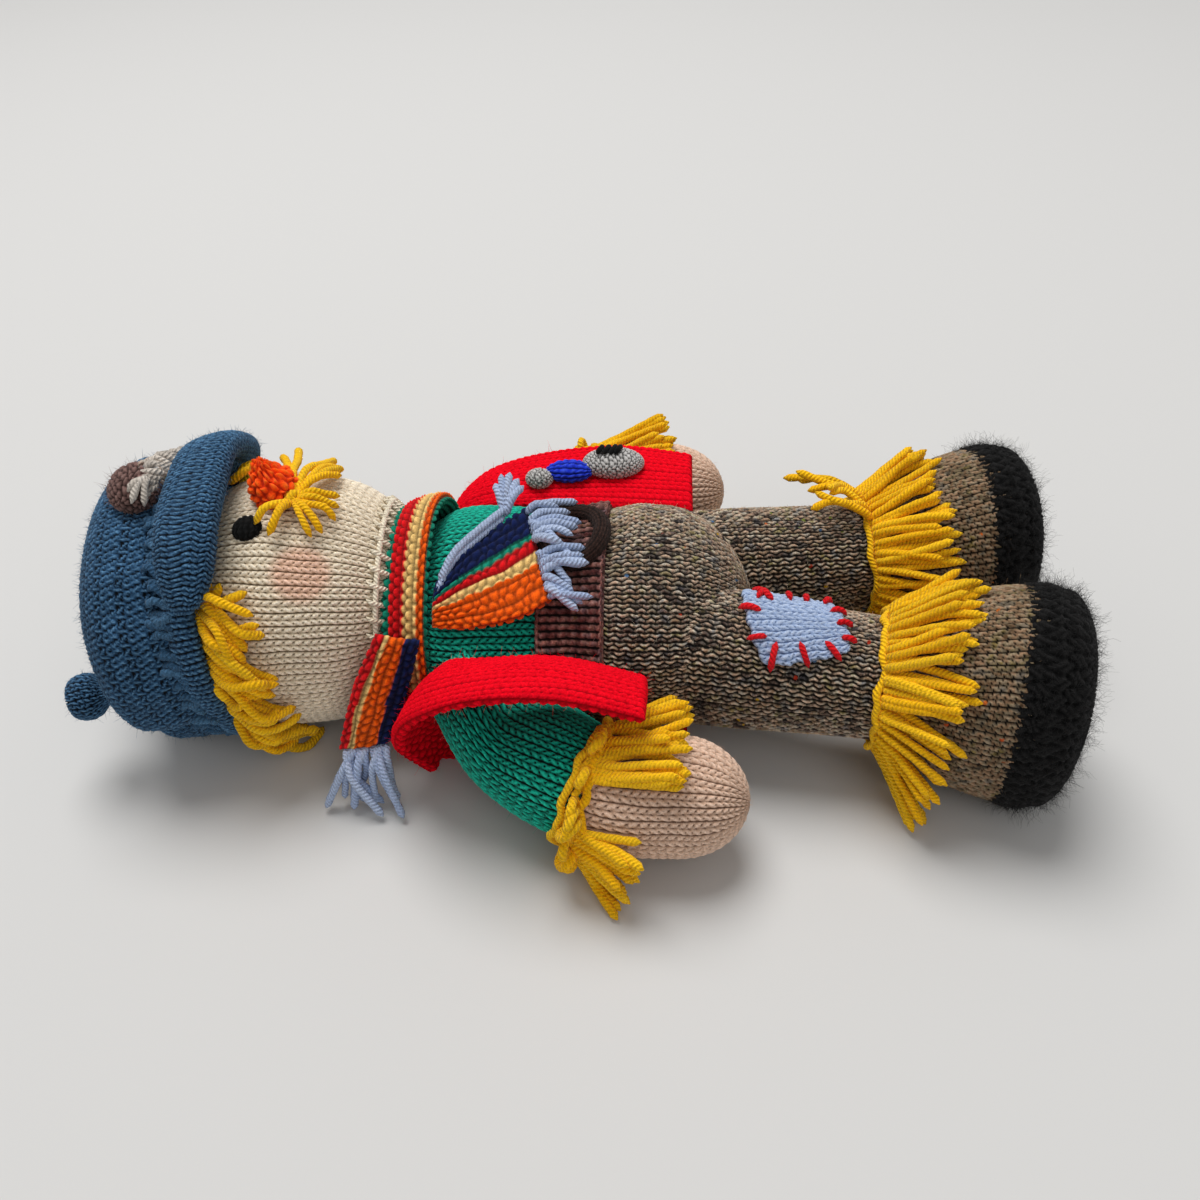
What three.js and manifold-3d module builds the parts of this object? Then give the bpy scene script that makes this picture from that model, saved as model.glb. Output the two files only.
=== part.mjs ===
// Knitted scarecrow doll, lying on its back. Millimetres. +X runs from the head to the feet, +Y to the
// doll's left and +Z up out of its chest. The origin is on the floor, under the waist.
import * as THREE from "three";
import { mergeVertices } from "three/addons/utils/BufferGeometryUtils.js";
import Module from "manifold-3d";

const wasm = await Module();
wasm.setup();

// Sizes that all pieces share
const GAP = 0.3; // clearance between pieces that lie against each other
const TURN_GAP = 1.2; // clearance round a form that turns in another
const FLOOR_FLAT = 0.5; // how deep a soft form is pressed flat where it rests
const KNIT = 4.2; // thickness of the waistcoat fabric
const STRAW = 3.4; // thickness of one strand of straw yarn

// Trunk
const WAIST_X = -7;
const TORSO_LENGTH = 60;
const TORSO_RADIUS = 44; // half the width of the chest
const TRUNK_DEPTH = 0.82; // depth of the trunk as a share of its width
const SEAT_LENGTH = 66;
const SEAT_RADIUS = 45;
const BELT_WIDTH = 23;
const BELT_THICKNESS = 4;
const BUCKLE_WIDTH = 34;
const BUCKLE_LENGTH = 26;
const BUCKLE_TUBE = 6;
const BUCKLE_SAG = 14; // how far its ends follow the belt down
const BUCKLE_ANGLE = 88; // place of the buckle round the belt, from the right side upwards

// Head
const HEAD_RADIUS = 46.5;
const HEAD_LENGTH = 88;
const NECK_RADIUS = 27;
const NECK_Z = 46;
const HEAD_LEAN = 3; // the head leans to the doll's right
const HEAD_NOD = 4;
const HEAD_TURN = -2; // the face looks a little to the doll's left
const NOSE_RADIUS = 9.5;
const NOSE_LENGTH = 22;
const NOSE_AT = 41; // from the top of the head
const EYE_RADIUS = 4.8;
const EYE_AT = 37; // from the top of the head
const EYE_SPREAD = 22; // angle between an eye and the middle of the face
const MOUSTACHE_STRANDS = 8;
const MOUSTACHE_LENGTH = 19;
const MOUSTACHE_ANGLE = 75;
const HAIR_STRANDS = 8;
const HAIR_LENGTH = 21;
const HAIR_SPREAD = 90; // angle from the temple to the nape
const HAIR_UNDER_PEAK = 10; // angle that the hair starts under the peak
const GATHER_YARN = 2;

// Hat
const HAT_OVERHANG = 5.5; // how far the crown stands out past the head
const HAT_TOP = 24; // how far the crown reaches beyond the top of the head
const HAT_TILT = 9;
const RIM_AT = 16; // from the top of the head to the rim
const HAT_GATHERS = 12;
const GATHER_DEPTH = 1.6;
const RIM_WIDTH = 9;
const RIM_THICKNESS = 4.5;
const PEAK_REACH = 16;
const PEAK_THICKNESS = 7;
const PEAK_CROWN = 1.5;
const PEAK_SPREAD = 66; // half the angle that the peak covers
const KNOB_RADIUS = 8;
const KNOB_LENGTH = 17;
const KNOB_ANGLE = -24;
const PAD_LENGTH = 16;
const PAD_WIDTH = 22;
const PAD_HEIGHT = 8;
const PAD_AT = 25; // from the top of the crown

// Arms
const SHOULDER_SPREAD = 38;
const SHOULDER_SETBACK = 30; // from the neck end of the torso to the shoulder joint
const SHOULDER_Z = 38;
const ARM_RADIUS = 20;
const SLEEVE_LENGTH = 53;
const HAND_RADIUS = 20;
const HAND_LENGTH = 52;
const CUFF_STRANDS = 11;
const CUFF_LENGTH = 30;
const CUFF_FLARE = 7;
const RIGHT_ARM_SPREAD = 0.33; // how far the arm runs outwards, as a share of its length
const LEFT_ARM_SPREAD = 0.4;
const LEFT_HAND_Z = 38;

// Legs and boots
const HIP_SPREAD = 22.5;
const HIP_SETBACK = 20; // from the end of the seat to the hip joint
const LEG_RADIUS = 21.5;
const LEG_LENGTH = 62;
const RIGHT_SPLAY = 10;
const LEFT_SPLAY = 10;
const LEG_SWING = 60; // largest bend of a hip, for the room cut in the seat
const ANKLE_STRANDS = 13;
const ANKLE_FRINGE = 36;
const ANKLE_FLARE = 3.5;
const BOOT_RADIUS = 31.5;
const BOOT_HEIGHT = 1.3; // heel to toe as a share of the width
const BOOT_LENGTH = 47;
const SOLE_THICKNESS = 18;
const PATCH_LENGTH = 36;
const PATCH_WIDTH = 27;
const PATCH_THICKNESS = 2.4;
const PATCH_AT = 34; // from the hip joint to its middle
const PATCH_ANGLE = 70;

// Scarf, waistcoat and mouse
const SCARF_WIDTH = 17;
const SCARF_THICKNESS = 4.5;
const COLLAR_RADIUS = 40;
const TAIL_OVER_BELT = 4; // how far the front tail reaches over the belt
const TASSEL_LENGTH = 20;
const TASSEL_YARN = 3.2;
const TASSEL_STRANDS = 6;
const SIDE_TAIL_WIDTH = 19;
const SIDE_TAIL_AT = 3; // from the neck to its near edge
const SIDE_TAIL_TOP = 58; // height of the side tail where it leaves the collar
const SIDE_TAIL_FOOT = 24; // height of its tasselled end
const VEST_START = 6; // from the neck to the top of the waistcoat
const VEST_LENGTH = 109;
const VEST_BACK_LENGTH = 94;
const VEST_HALF_WIDTH = 36;
const VEST_NECK_DROP = 9;
const MOUSE_LENGTH = 20;
const MOUSE_WIDTH = 14;
const MOUSE_HEIGHT = 12;
const MOUSE_AT = 0.6; // its place along the waistcoat
const MOUSE_OUT = 51; // from the middle of the doll
const MOUSE_BODY = 13;
const MOUSE_BOBBLE = 9;
const MOUSE_NOSE = 6.5;

// Fineness of the round forms
const FORM_SIDES = 16;
const FORM_RINGS = 9;
const FAR = 600; // beyond every piece

const UP = new THREE.Vector3(0, 0, 1);
const deg = THREE.MathUtils.degToRad;
const vec = (x, y, z) => new THREE.Vector3(x, y, z);

// Materials, one for each kind of yarn
const yarn = (color) => new THREE.MeshStandardMaterial({ color, roughness: 0.95, metalness: 0 });
const CREAM = yarn(0xd9cdb6);
const STEEL_BLUE = yarn(0x3a6285);
const GREEN = yarn(0x0f8a6c);
const RED = yarn(0xe0141c);
const YELLOW = yarn(0xf0b80c);
const ORANGE = yarn(0xf0560f);
const TWEED = yarn(0x857a6c);
const TAN_TWEED = yarn(0x8a7a63);
const BLACK = yarn(0x141414);
const PINK = yarn(0xcba892);
const BROWN = yarn(0x5e3f3e);
const DARK_BROWN = yarn(0x35231f);
const PALE_BLUE = yarn(0x93a5c8);
const PATCH_BLUE = yarn(0xb9cbe6);
const MOUSE_GREY = yarn(0xb9b7b5);
const BRIGHT_BLUE = yarn(0x1c34c8);

// A closed three.js geometry as a solid that can be cut
function solidOf(geometry) {
  const bare = new THREE.BufferGeometry();
  bare.setAttribute("position", geometry.getAttribute("position"));
  if (geometry.index) bare.setIndex(geometry.index);
  const merged = mergeVertices(bare, 1e-4);
  const corners = merged.index.array;
  const kept = [];
  for (let i = 0; i < corners.length; i += 3) {
    const [a, b, c] = [corners[i], corners[i + 1], corners[i + 2]];
    if (a !== b && b !== c && c !== a) kept.push(a, b, c);
  }
  const vertProperties = new Float32Array(merged.getAttribute("position").array);
  const triVerts = new Uint32Array(kept);
  return new wasm.Manifold(new wasm.Mesh({ numProp: 3, vertProperties, triVerts }));
}

// A solid back as three.js geometry
function geometryOf(solid) {
  const mesh = solid.getMesh();
  const geometry = new THREE.BufferGeometry();
  geometry.setAttribute("position", new THREE.BufferAttribute(mesh.vertProperties.slice(), 3));
  geometry.setIndex(new THREE.BufferAttribute(mesh.triVerts.slice(), 1));
  geometry.computeVertexNormals();
  return geometry;
}

const joined = (...solids) => wasm.Manifold.union(solids);

// Adds one named piece to a group: the main body of its solid, without the crumbs that a cut may leave
function piece(group, name, solid, material) {
  const bodies = solid.decompose().sort((a, b) => b.volume() - a.volume());
  const mesh = new THREE.Mesh(geometryOf(bodies[0]), material);
  mesh.name = name;
  group.add(mesh);
}

// A group that holds one part of the doll
function partGroup(position, rotation = [0, 0, 0]) {
  const group = new THREE.Group();
  group.position.copy(position);
  group.rotation.set(...rotation.map(deg));
  doll.add(group);
  group.updateWorldMatrix(true, false);
  return group;
}

// A solid of one group as another group sees it
function fromTo(solid, from, to) {
  const change = to.matrixWorld.clone().invert().multiply(from.matrixWorld);
  return solid.transform(change.elements);
}

// Geometry of points and triangles, turned over where its volume comes out negative
function facingOut(points, index) {
  let volume = 0;
  const cross = vec(0, 0, 0);
  for (let i = 0; i < index.length; i += 3) {
    volume += points[index[i]].dot(cross.crossVectors(points[index[i + 1]], points[index[i + 2]]));
  }
  const geometry = new THREE.BufferGeometry().setFromPoints(points);
  geometry.setIndex(volume < 0 ? index.slice().reverse() : index);
  return geometry;
}

// Triangles between rings of equally many points, from each ring to the next
function skinIndex(count, sides, closed) {
  const index = [];
  for (let i = 0; i < (closed ? count : count - 1); i += 1) {
    const next = (i + 1) % count;
    for (let j = 0; j < sides; j += 1) {
      const k = (j + 1) % sides;
      const [a, b, c, d] = [i * sides + j, i * sides + k, next * sides + k, next * sides + j];
      index.push(a, b, c, a, c, d);
    }
  }
  return index;
}

// Skin through rings, closed at both ends on their middles
function loft(rings) {
  const sides = rings[0].length;
  const points = rings.flat();
  const index = skinIndex(rings.length, sides, false);
  const last = (rings.length - 1) * sides;
  for (const [start, ring] of [[0, rings[0]], [last, rings.at(-1)]]) {
    const middle = ring.reduce((sum, p) => sum.add(p), vec(0, 0, 0)).divideScalar(sides);
    const hub = points.push(middle) - 1;
    for (let j = 0; j < sides; j += 1) {
      const pair = [start + j, start + ((j + 1) % sides)];
      if (start === 0) pair.reverse();
      index.push(hub, ...pair);
    }
  }
  return solidOf(facingOut(points, index));
}

// Skin round a closed loop of rings
const loop = (rings) => solidOf(facingOut(rings.flat(), skinIndex(rings.length, rings[0].length, true)));

// A smooth line through points, with the directions along it, to its right and up from it
function spineThrough(...points) {
  const curve = new THREE.CatmullRomCurve3(points);
  const length = curve.getLength();
  return (a) => {
    const share = THREE.MathUtils.clamp(a / length, 0, 1);
    const along = curve.getTangentAt(share);
    const point = curve.getPointAt(share).addScaledVector(along, a - share * length);
    const side = vec(0, 0, 0).crossVectors(along, UP).normalize();
    const up = vec(0, 0, 0).crossVectors(side, along);
    return { point, along, side, up };
  };
}

// Half outline along a form: a rounded or flat start, a smooth run through points, and such an end
function halfOutline(startDome, points, endDome) {
  const path = new THREE.Path();
  const [first, last] = [points[0], points.at(-1)];
  path.moveTo(first[0] - startDome, startDome > 0 ? 0 : first[1]);
  if (startDome > 0) path.absellipse(first[0], 0, startDome, first[1], Math.PI, Math.PI / 2, true);
  path.splineThru(points.slice(1).map(([a, r]) => new THREE.Vector2(a, r)));
  if (endDome > 0) path.absellipse(last[0], 0, endDome, last[1], Math.PI / 2, 0, true);
  return path;
}

// A stuffed form: an outline turned round a spine. Its depth is a share of its width, the same all
// along or from one end to the other. A ripple adds to the radius.
function stuffed({ outline, spine, deep = [1, 1], lift = 0, ripple, sides = FORM_SIDES, rings = FORM_RINGS }) {
  const profile = outline.getSpacedPoints(rings);
  const fullest = Math.max(...profile.map((p) => p.y));
  const [start, end] = [profile[0].x, profile.at(-1).x];
  const [middle, half] = [(start + end) / 2, (end - start) / 2];
  const depth = (a) => THREE.MathUtils.mapLinear(THREE.MathUtils.clamp(a, start, end), start, end, ...deep);
  const place = (a, r, angle, out) => {
    const { point, side, up } = spine(a);
    const full = r + (ripple ? ripple(a, angle) * Math.min(1, r / 10) : 0);
    return point
      .addScaledVector(side, (full + out) * Math.cos(angle))
      .addScaledVector(up, (full * depth(a) + out) * Math.sin(angle) + (lift * r) / fullest);
  };
  const radius = (a) => {
    const after = profile.findIndex((p) => p.x >= a);
    if (after <= 0) return profile[after < 0 ? rings : 0].y;
    const [p, q] = [profile[after - 1], profile[after]];
    return THREE.MathUtils.mapLinear(a, p.x, q.x, p.y, q.y);
  };
  // The solid, grown on all sides for the room that its neighbours leave it
  const solid = (grow = 0) => {
    const sections = profile.map(({ x, y }) => {
      const a = middle + ((x - middle) * (half + grow)) / half;
      const angles = Array.from({ length: sides }, (_, j) => (2 * Math.PI * j) / sides);
      return angles.map((angle) => place(a, y, angle, y > 0.01 ? grow : 0));
    });
    return loft(sections);
  };
  // A point over the skin and the direction out of the skin there
  const skin = (a, angle, out = 0) => {
    const { side, up } = spine(a);
    const normal = side.multiplyScalar(Math.cos(angle)).addScaledVector(up, Math.sin(angle) / depth(a));
    return { point: place(a, radius(a), angle, out), normal: normal.normalize() };
  };
  return { solid, skin, radius, spine, start, end };
}

// Box between two corners
function block(low, high) {
  const size = high.clone().sub(low);
  const middle = low.clone().add(high).multiplyScalar(0.5);
  return solidOf(new THREE.BoxGeometry(...size.toArray()).translate(...middle.toArray()));
}

// All that lies under a height, as a group sees it
const below = (height, group) => fromTo(block(vec(-FAR, -FAR, -FAR), vec(FAR, FAR, height)), doll, group);

// A strand of yarn along a curve through points
function strand(points, thickness, steps = 3, sides = 4) {
  const round = new THREE.Path().absarc(0, 0, thickness / 2, 0, 2 * Math.PI).getSpacedPoints(sides);
  const extrudePath = new THREE.CatmullRomCurve3(points);
  return solidOf(new THREE.ExtrudeGeometry(new THREE.Shape(round), { steps, extrudePath }));
}

// A ring of yarn through a closed run of points round a middle
function yarnRing(points, thickness, sides = 4) {
  const curve = new THREE.CatmullRomCurve3(points, true);
  const middle = points.reduce((sum, p) => sum.add(p), vec(0, 0, 0)).divideScalar(points.length);
  const turns = Array.from({ length: sides }, (_, j) => (2 * Math.PI * (j + 0.5)) / sides);
  const rings = points.map((p, i) => {
    const along = curve.getTangent(i / points.length);
    const across = vec(0, 0, 0).crossVectors(along, p.clone().sub(middle)).normalize();
    const out = vec(0, 0, 0).crossVectors(across, along);
    return turns.map((turn) => {
      const [x, y] = [(Math.cos(turn) * thickness) / 2, (Math.sin(turn) * thickness) / 2];
      return p.clone().addScaledVector(out, x).addScaledVector(across, y);
    });
  });
  return loop(rings);
}

// A repeatable number between -1 and 1, for the small differences between strands
const uneven = (i, k) => Math.sin(12.9898 * (i + 1) + 78.233 * (k + 1));

// A strip of fabric between two edge lines, crowned in its middle
function strip(edgeA, edgeB, thickness, crown = 0, steps = 14, across = 5) {
  const [lineA, lineB] = [new THREE.CatmullRomCurve3(edgeA), new THREE.CatmullRomCurve3(edgeB)];
  const rings = [];
  for (let i = 0; i <= steps; i += 1) {
    const share = i / steps;
    const [a, b] = [lineA.getPoint(share), lineB.getPoint(share)];
    const run = lineA.getTangent(share).add(lineB.getTangent(share)).normalize();
    const normal = vec(0, 0, 0).crossVectors(b.clone().sub(a), run).normalize();
    const [upper, lower] = [[], []];
    for (let j = 0; j <= across; j += 1) {
      const p = a.clone().lerp(b, j / across);
      p.addScaledVector(normal, crown * Math.sin((Math.PI * j) / across));
      upper.push(p.clone().addScaledVector(normal, thickness / 2));
      lower.unshift(p.addScaledVector(normal, -thickness / 2));
    }
    rings.push([...upper, ...lower]);
  }
  return loft(rings);
}

// Turns and moves a solid made along +Z so that it stands on a point along a direction
function standOn(solid, { point, normal }, spin = 0) {
  const turn = new THREE.Quaternion().setFromUnitVectors(UP, normal);
  turn.multiply(new THREE.Quaternion().setFromAxisAngle(UP, deg(spin)));
  return solid.transform(new THREE.Matrix4().compose(point, turn, vec(1, 1, 1)).elements);
}

// A form turned round +Z from its half outline of radius and height
function turned(outline, sides) {
  const points = outline.map(([r, h]) => new THREE.Vector2(r, h));
  return solidOf(new THREE.LatheGeometry(points, sides).rotateX(Math.PI / 2));
}

// An egg shape of three half sizes
const egg = (x, y, z, sides = 14) => solidOf(new THREE.SphereGeometry(1, sides, sides / 2).scale(x, y, z));

// A tuft of loose strands from one root, each given as a run of points
const tuft = (root, runs, thickness) => joined(root, ...runs.map((run) => strand(run, thickness)));

const doll = new THREE.Group();
doll.name = "knitted_scarecrow_doll";

// Trunk: a stuffed jumper, the trouser seat and the belt between them
const NECK_X = WAIST_X - TORSO_LENGTH;
const SEAT_END = WAIST_X + SEAT_LENGTH;
const BACK_TOP = KNIT + GAP;
const TRUNK_Z = BACK_TOP + TORSO_RADIUS * TRUNK_DEPTH - FLOOR_FLAT;
const WAIST_RADIUS = TORSO_RADIUS - BELT_THICKNESS / TRUNK_DEPTH;
const torso = stuffed({
  outline: halfOutline(
    0,
    [
      [0, NECK_RADIUS],
      [TORSO_LENGTH * 0.1, TORSO_RADIUS * 0.84],
      [TORSO_LENGTH * 0.3, TORSO_RADIUS],
      [TORSO_LENGTH * 0.68, TORSO_RADIUS],
      [TORSO_LENGTH, WAIST_RADIUS],
    ],
    0,
  ),
  spine: spineThrough(vec(NECK_X, 0, TRUNK_Z), vec(WAIST_X, 0, TRUNK_Z)),
  deep: [TRUNK_DEPTH, TRUNK_DEPTH],
});
const seat = stuffed({
  outline: halfOutline(
    0,
    [
      [GAP, WAIST_RADIUS],
      [SEAT_LENGTH * 0.3, SEAT_RADIUS],
      [SEAT_LENGTH * 0.45, SEAT_RADIUS],
    ],
    SEAT_LENGTH * 0.55,
  ),
  spine: spineThrough(vec(WAIST_X, 0, TRUNK_Z), vec(SEAT_END, 0, TRUNK_Z)),
  deep: [TRUNK_DEPTH, TRUNK_DEPTH],
});

// Head group, turned about the neck
const headGroup = partGroup(vec(NECK_X - GAP, 0, NECK_Z), [HEAD_TURN, HEAD_NOD, HEAD_LEAN]);
const head = stuffed({
  outline: halfOutline(
    HEAD_LENGTH * 0.5,
    [
      [HEAD_LENGTH * 0.5, HEAD_RADIUS],
      [HEAD_LENGTH * 0.76, HEAD_RADIUS * 0.92],
      [HEAD_LENGTH * 0.93, HEAD_RADIUS * 0.72],
      [HEAD_LENGTH, NECK_RADIUS],
    ],
    0,
  ),
  spine: spineThrough(vec(-HEAD_LENGTH, 0, 0), vec(0, 0, 0)),
  sides: 20,
});

// Arms: one curved spine carries the sleeve and the hand
function makeArm(side, handZ, spread) {
  const drop = handZ - SHOULDER_Z;
  const group = partGroup(vec(NECK_X + SHOULDER_SETBACK, side * SHOULDER_SPREAD, SHOULDER_Z));
  const reach = SLEEVE_LENGTH + HAND_LENGTH;
  const spine = spineThrough(
    vec(0, 0, 0),
    vec(reach * 0.15, side * reach * spread * 0.6, drop * 0.4),
    vec(reach * 0.38, side * reach * spread, drop * 0.85),
    vec(reach * 0.68, side * reach * spread * 1.05, drop),
  );
  const sleeve = stuffed({
    outline: halfOutline(
      ARM_RADIUS,
      [
        [0, ARM_RADIUS],
        [SLEEVE_LENGTH * 0.5, ARM_RADIUS * 1.06],
        [SLEEVE_LENGTH, ARM_RADIUS * 0.96],
      ],
      0,
    ),
    spine,
  });
  const wrist = SLEEVE_LENGTH + GAP;
  const hand = stuffed({
    outline: halfOutline(
      0,
      [
        [wrist, HAND_RADIUS * 0.92],
        [wrist + HAND_LENGTH * 0.3, HAND_RADIUS],
        [wrist + HAND_LENGTH * 0.55, HAND_RADIUS],
      ],
      HAND_LENGTH * 0.45,
    ),
    spine,
  });
  return { group, sleeve, hand };
}

// Legs: a straight spine carries the leg, the boot and the sole
const HIP_X = SEAT_END - HIP_SETBACK;
function makeLeg(side, splay) {
  const group = partGroup(vec(HIP_X, side * HIP_SPREAD, TRUNK_Z), [0, 0, side * splay]);
  const spine = spineThrough(vec(0, 0, 0), vec(LEG_LENGTH, 0, 0));
  const leg = stuffed({
    outline: halfOutline(
      LEG_RADIUS,
      [
        [0, LEG_RADIUS],
        [LEG_LENGTH * 0.5, LEG_RADIUS],
        [LEG_LENGTH, LEG_RADIUS * 0.98],
      ],
      0,
    ),
    spine,
  });
  const ankle = LEG_LENGTH + GAP;
  const lift = BOOT_RADIUS * BOOT_HEIGHT - FLOOR_FLAT - TRUNK_Z;
  const solePlane = ankle + BOOT_LENGTH;
  const boot = stuffed({
    outline: halfOutline(
      0,
      [
        [ankle, LEG_RADIUS * 0.95],
        [ankle + BOOT_LENGTH * 0.35, BOOT_RADIUS * 0.9],
        [ankle + BOOT_LENGTH * 0.75, BOOT_RADIUS],
        [solePlane, BOOT_RADIUS * 0.98],
      ],
      0,
    ),
    spine,
    deep: [1, BOOT_HEIGHT],
    lift,
  });
  const sole = stuffed({
    outline: halfOutline(
      0,
      [
        [solePlane + GAP, BOOT_RADIUS * 0.98],
        [solePlane + SOLE_THICKNESS * 0.3, BOOT_RADIUS * 0.97],
      ],
      SOLE_THICKNESS * 0.7,
    ),
    spine,
    deep: [BOOT_HEIGHT, BOOT_HEIGHT],
    lift,
    rings: 6,
  });
  return { group, leg, boot, sole };
}

const [RIGHT, LEFT] = [-1, 1];
const RIGHT_HAND_Z = HAND_RADIUS + STRAW + 2;
const arms = {
  right: makeArm(RIGHT, RIGHT_HAND_Z, RIGHT_ARM_SPREAD),
  left: makeArm(LEFT, LEFT_HAND_Z, LEFT_ARM_SPREAD),
};
const legs = { right: makeLeg(RIGHT, RIGHT_SPLAY), left: makeLeg(LEFT, LEFT_SPLAY) };

// The trunk is pressed flat on the waistcoat, and is hollowed where the shoulders and hips turn in it
const underTrunk = below(BACK_TOP, doll);
const shoulderRoom = Object.values(arms).map(({ group, sleeve }) => {
  const ball = egg(ARM_RADIUS + TURN_GAP, ARM_RADIUS + TURN_GAP, ARM_RADIUS + TURN_GAP, 16);
  return fromTo(joined(ball, sleeve.solid(TURN_GAP)), group, doll);
});
const headTurned = fromTo(head.solid(TURN_GAP), headGroup, doll);
piece(doll, "torso_jumper", torso.solid().subtract(joined(underTrunk, headTurned, ...shoulderRoom)), GREEN);
const hipRadius = LEG_RADIUS + 2 * GAP;
const hipSide = new THREE.Shape();
hipSide.absarc(0, 0, hipRadius, deg(-90), deg(LEG_SWING + 90), true);
hipSide.lineTo(FAR * Math.cos(deg(LEG_SWING)), FAR * Math.sin(deg(LEG_SWING)));
hipSide.lineTo(FAR, -hipRadius);
const hipCut = new THREE.ExtrudeGeometry(hipSide, { depth: FAR, bevelEnabled: false, curveSegments: 14 });
hipCut.rotateX(Math.PI / 2).translate(HIP_X, FAR / 2, TRUNK_Z);
piece(doll, "trouser_seat", seat.solid().subtract(joined(underTrunk, solidOf(hipCut))), TWEED);

// Belt round the waist, and the ring of its buckle
const beltRoom = (grow) => joined(torso.solid(grow), seat.solid(grow));
const beltForm = (grow) => {
  const half = BELT_WIDTH / 2 + grow;
  const span = block(vec(WAIST_X - half, -FAR, BACK_TOP - grow), vec(WAIST_X + half, FAR, FAR));
  return beltRoom(GAP + BELT_THICKNESS + grow).intersect(span);
};
piece(doll, "belt", beltForm(0).subtract(joined(beltRoom(GAP), ...shoulderRoom)), BROWN);
const buckleSeat = torso.skin(TORSO_LENGTH, deg(BUCKLE_ANGLE), BELT_THICKNESS + GAP);
const buckleTurns = Array.from({ length: 20 }, (_, i) => (2 * Math.PI * i) / 20);
const buckleLine = buckleTurns.map((turn) => {
  const x = (Math.cos(turn) * (BUCKLE_LENGTH - BUCKLE_TUBE)) / 2;
  const y = (Math.sin(turn) * (BUCKLE_WIDTH - BUCKLE_TUBE)) / 2;
  return vec(x, y, BUCKLE_TUBE * 0.3 - (y / BUCKLE_WIDTH) ** 2 * BUCKLE_SAG);
});
const buckle = (grow) => standOn(yarnRing(buckleLine, BUCKLE_TUBE + 2 * grow, 5), buckleSeat);
piece(doll, "belt_buckle", buckle(0).subtract(beltForm(GAP)), DARK_BROWN);

// Sleeves, hands, legs, boots and soles
for (const [side, { group, sleeve, hand }] of Object.entries(arms)) {
  piece(group, `${side}_sleeve`, sleeve.solid(), GREEN);
  piece(group, `${side}_hand`, hand.solid(), PINK);
}
for (const [side, { group, leg, boot, sole }] of Object.entries(legs)) {
  const floor = below(0, group);
  piece(group, `${side}_leg`, leg.solid(), TWEED);
  piece(group, `${side}_boot`, boot.solid().subtract(floor), TAN_TWEED);
  piece(group, `${side}_sole`, sole.solid().subtract(floor), BLACK);
}

// Straw tied round a limb: a band on the form, and strands that flare from it over the next form
function fringe({ group, form, cover, start, length, count, flare, seed }) {
  const overFloor = (p) => {
    const low = group.localToWorld(p);
    low.z = Math.max(low.z, STRAW * 0.6);
    return group.worldToLocal(low);
  };
  const bandYarn = STRAW * 1.6;
  const bandAt = start - bandYarn / 2;
  const onBand = (angle) => form.skin(bandAt, angle, GAP + bandYarn * 0.5).point;
  const half = Math.PI / count;
  const turns = Array.from({ length: count }, (_, i) => (2 * Math.PI * i) / count);
  const strands = turns.map((turn, i) => {
    const angle = turn + (0.4 * uneven(i, seed)) / count;
    const low = Math.max(0, -Math.sin(angle)) ** 3;
    const own = length * (0.88 + 0.12 * uneven(i, seed + 3)) * (1 - 0.6 * low);
    const lean = 0.14 * uneven(i, seed + 5);
    const run = [0.25, 0.5, 0.75, 1].map((share) => {
      const out = STRAW * 0.8 + GAP + flare * share ** 1.5 * (1 + 0.4 * uneven(i, seed + 7));
      return overFloor(cover.skin(start + own * share, angle + lean * share, out).point);
    });
    return strand([onBand(angle), ...run], STRAW);
  });
  const band = yarnRing(turns.map((turn) => onBand(turn + half)), bandYarn);
  return joined(band, ...strands).subtract(joined(form.solid(GAP), cover.solid(GAP)));
}
Object.entries(arms).forEach(([side, { group, sleeve, hand }], i) => {
  const straw = fringe({
    group,
    form: sleeve,
    cover: hand,
    start: SLEEVE_LENGTH,
    length: CUFF_LENGTH,
    count: CUFF_STRANDS,
    flare: CUFF_FLARE,
    seed: i,
  });
  piece(group, `${side}_cuff_straw`, straw, YELLOW);
});
Object.entries(legs).forEach(([side, { group, leg, boot }], i) => {
  const straw = fringe({
    group,
    form: leg,
    cover: boot,
    start: LEG_LENGTH,
    length: ANKLE_FRINGE,
    count: ANKLE_STRANDS,
    flare: ANKLE_FLARE,
    seed: i + 2,
  });
  piece(group, `${side}_ankle_straw`, straw, YELLOW);
});

// Knee patch, a small square that follows the right leg
const patchLeg = legs.right.leg;
const patchEdge = (along) => {
  const half = PATCH_WIDTH / 2 / LEG_RADIUS;
  const angles = [-1, -0.5, 0, 0.5, 1].map((share) => deg(PATCH_ANGLE) + half * share);
  return angles.map((angle) => patchLeg.skin(PATCH_AT + along, angle, GAP + PATCH_THICKNESS / 2).point);
};
const patch = strip(patchEdge(-PATCH_LENGTH / 2), patchEdge(PATCH_LENGTH / 2), PATCH_THICKNESS, 0, 10, 3);
piece(legs.right.group, "knee_patch", patch.subtract(patchLeg.solid(GAP / 2)), PATCH_BLUE);

// Head, with a gathering yarn round the neck
piece(headGroup, "head", head.solid(), CREAM);
const gatherTurns = Array.from({ length: 20 }, (_, i) => (2 * Math.PI * i) / 20);
const gatherAt = HEAD_LENGTH - SCARF_WIDTH * 0.35 - GATHER_YARN * 1.5;
const gatherLine = gatherTurns.map((turn) => head.skin(gatherAt, turn, GAP + GATHER_YARN * 0.75).point);
const headRoom = head.solid(GAP);
piece(headGroup, "neck_gathering_yarn", yarnRing(gatherLine, GATHER_YARN).subtract(headRoom), CREAM);

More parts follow.
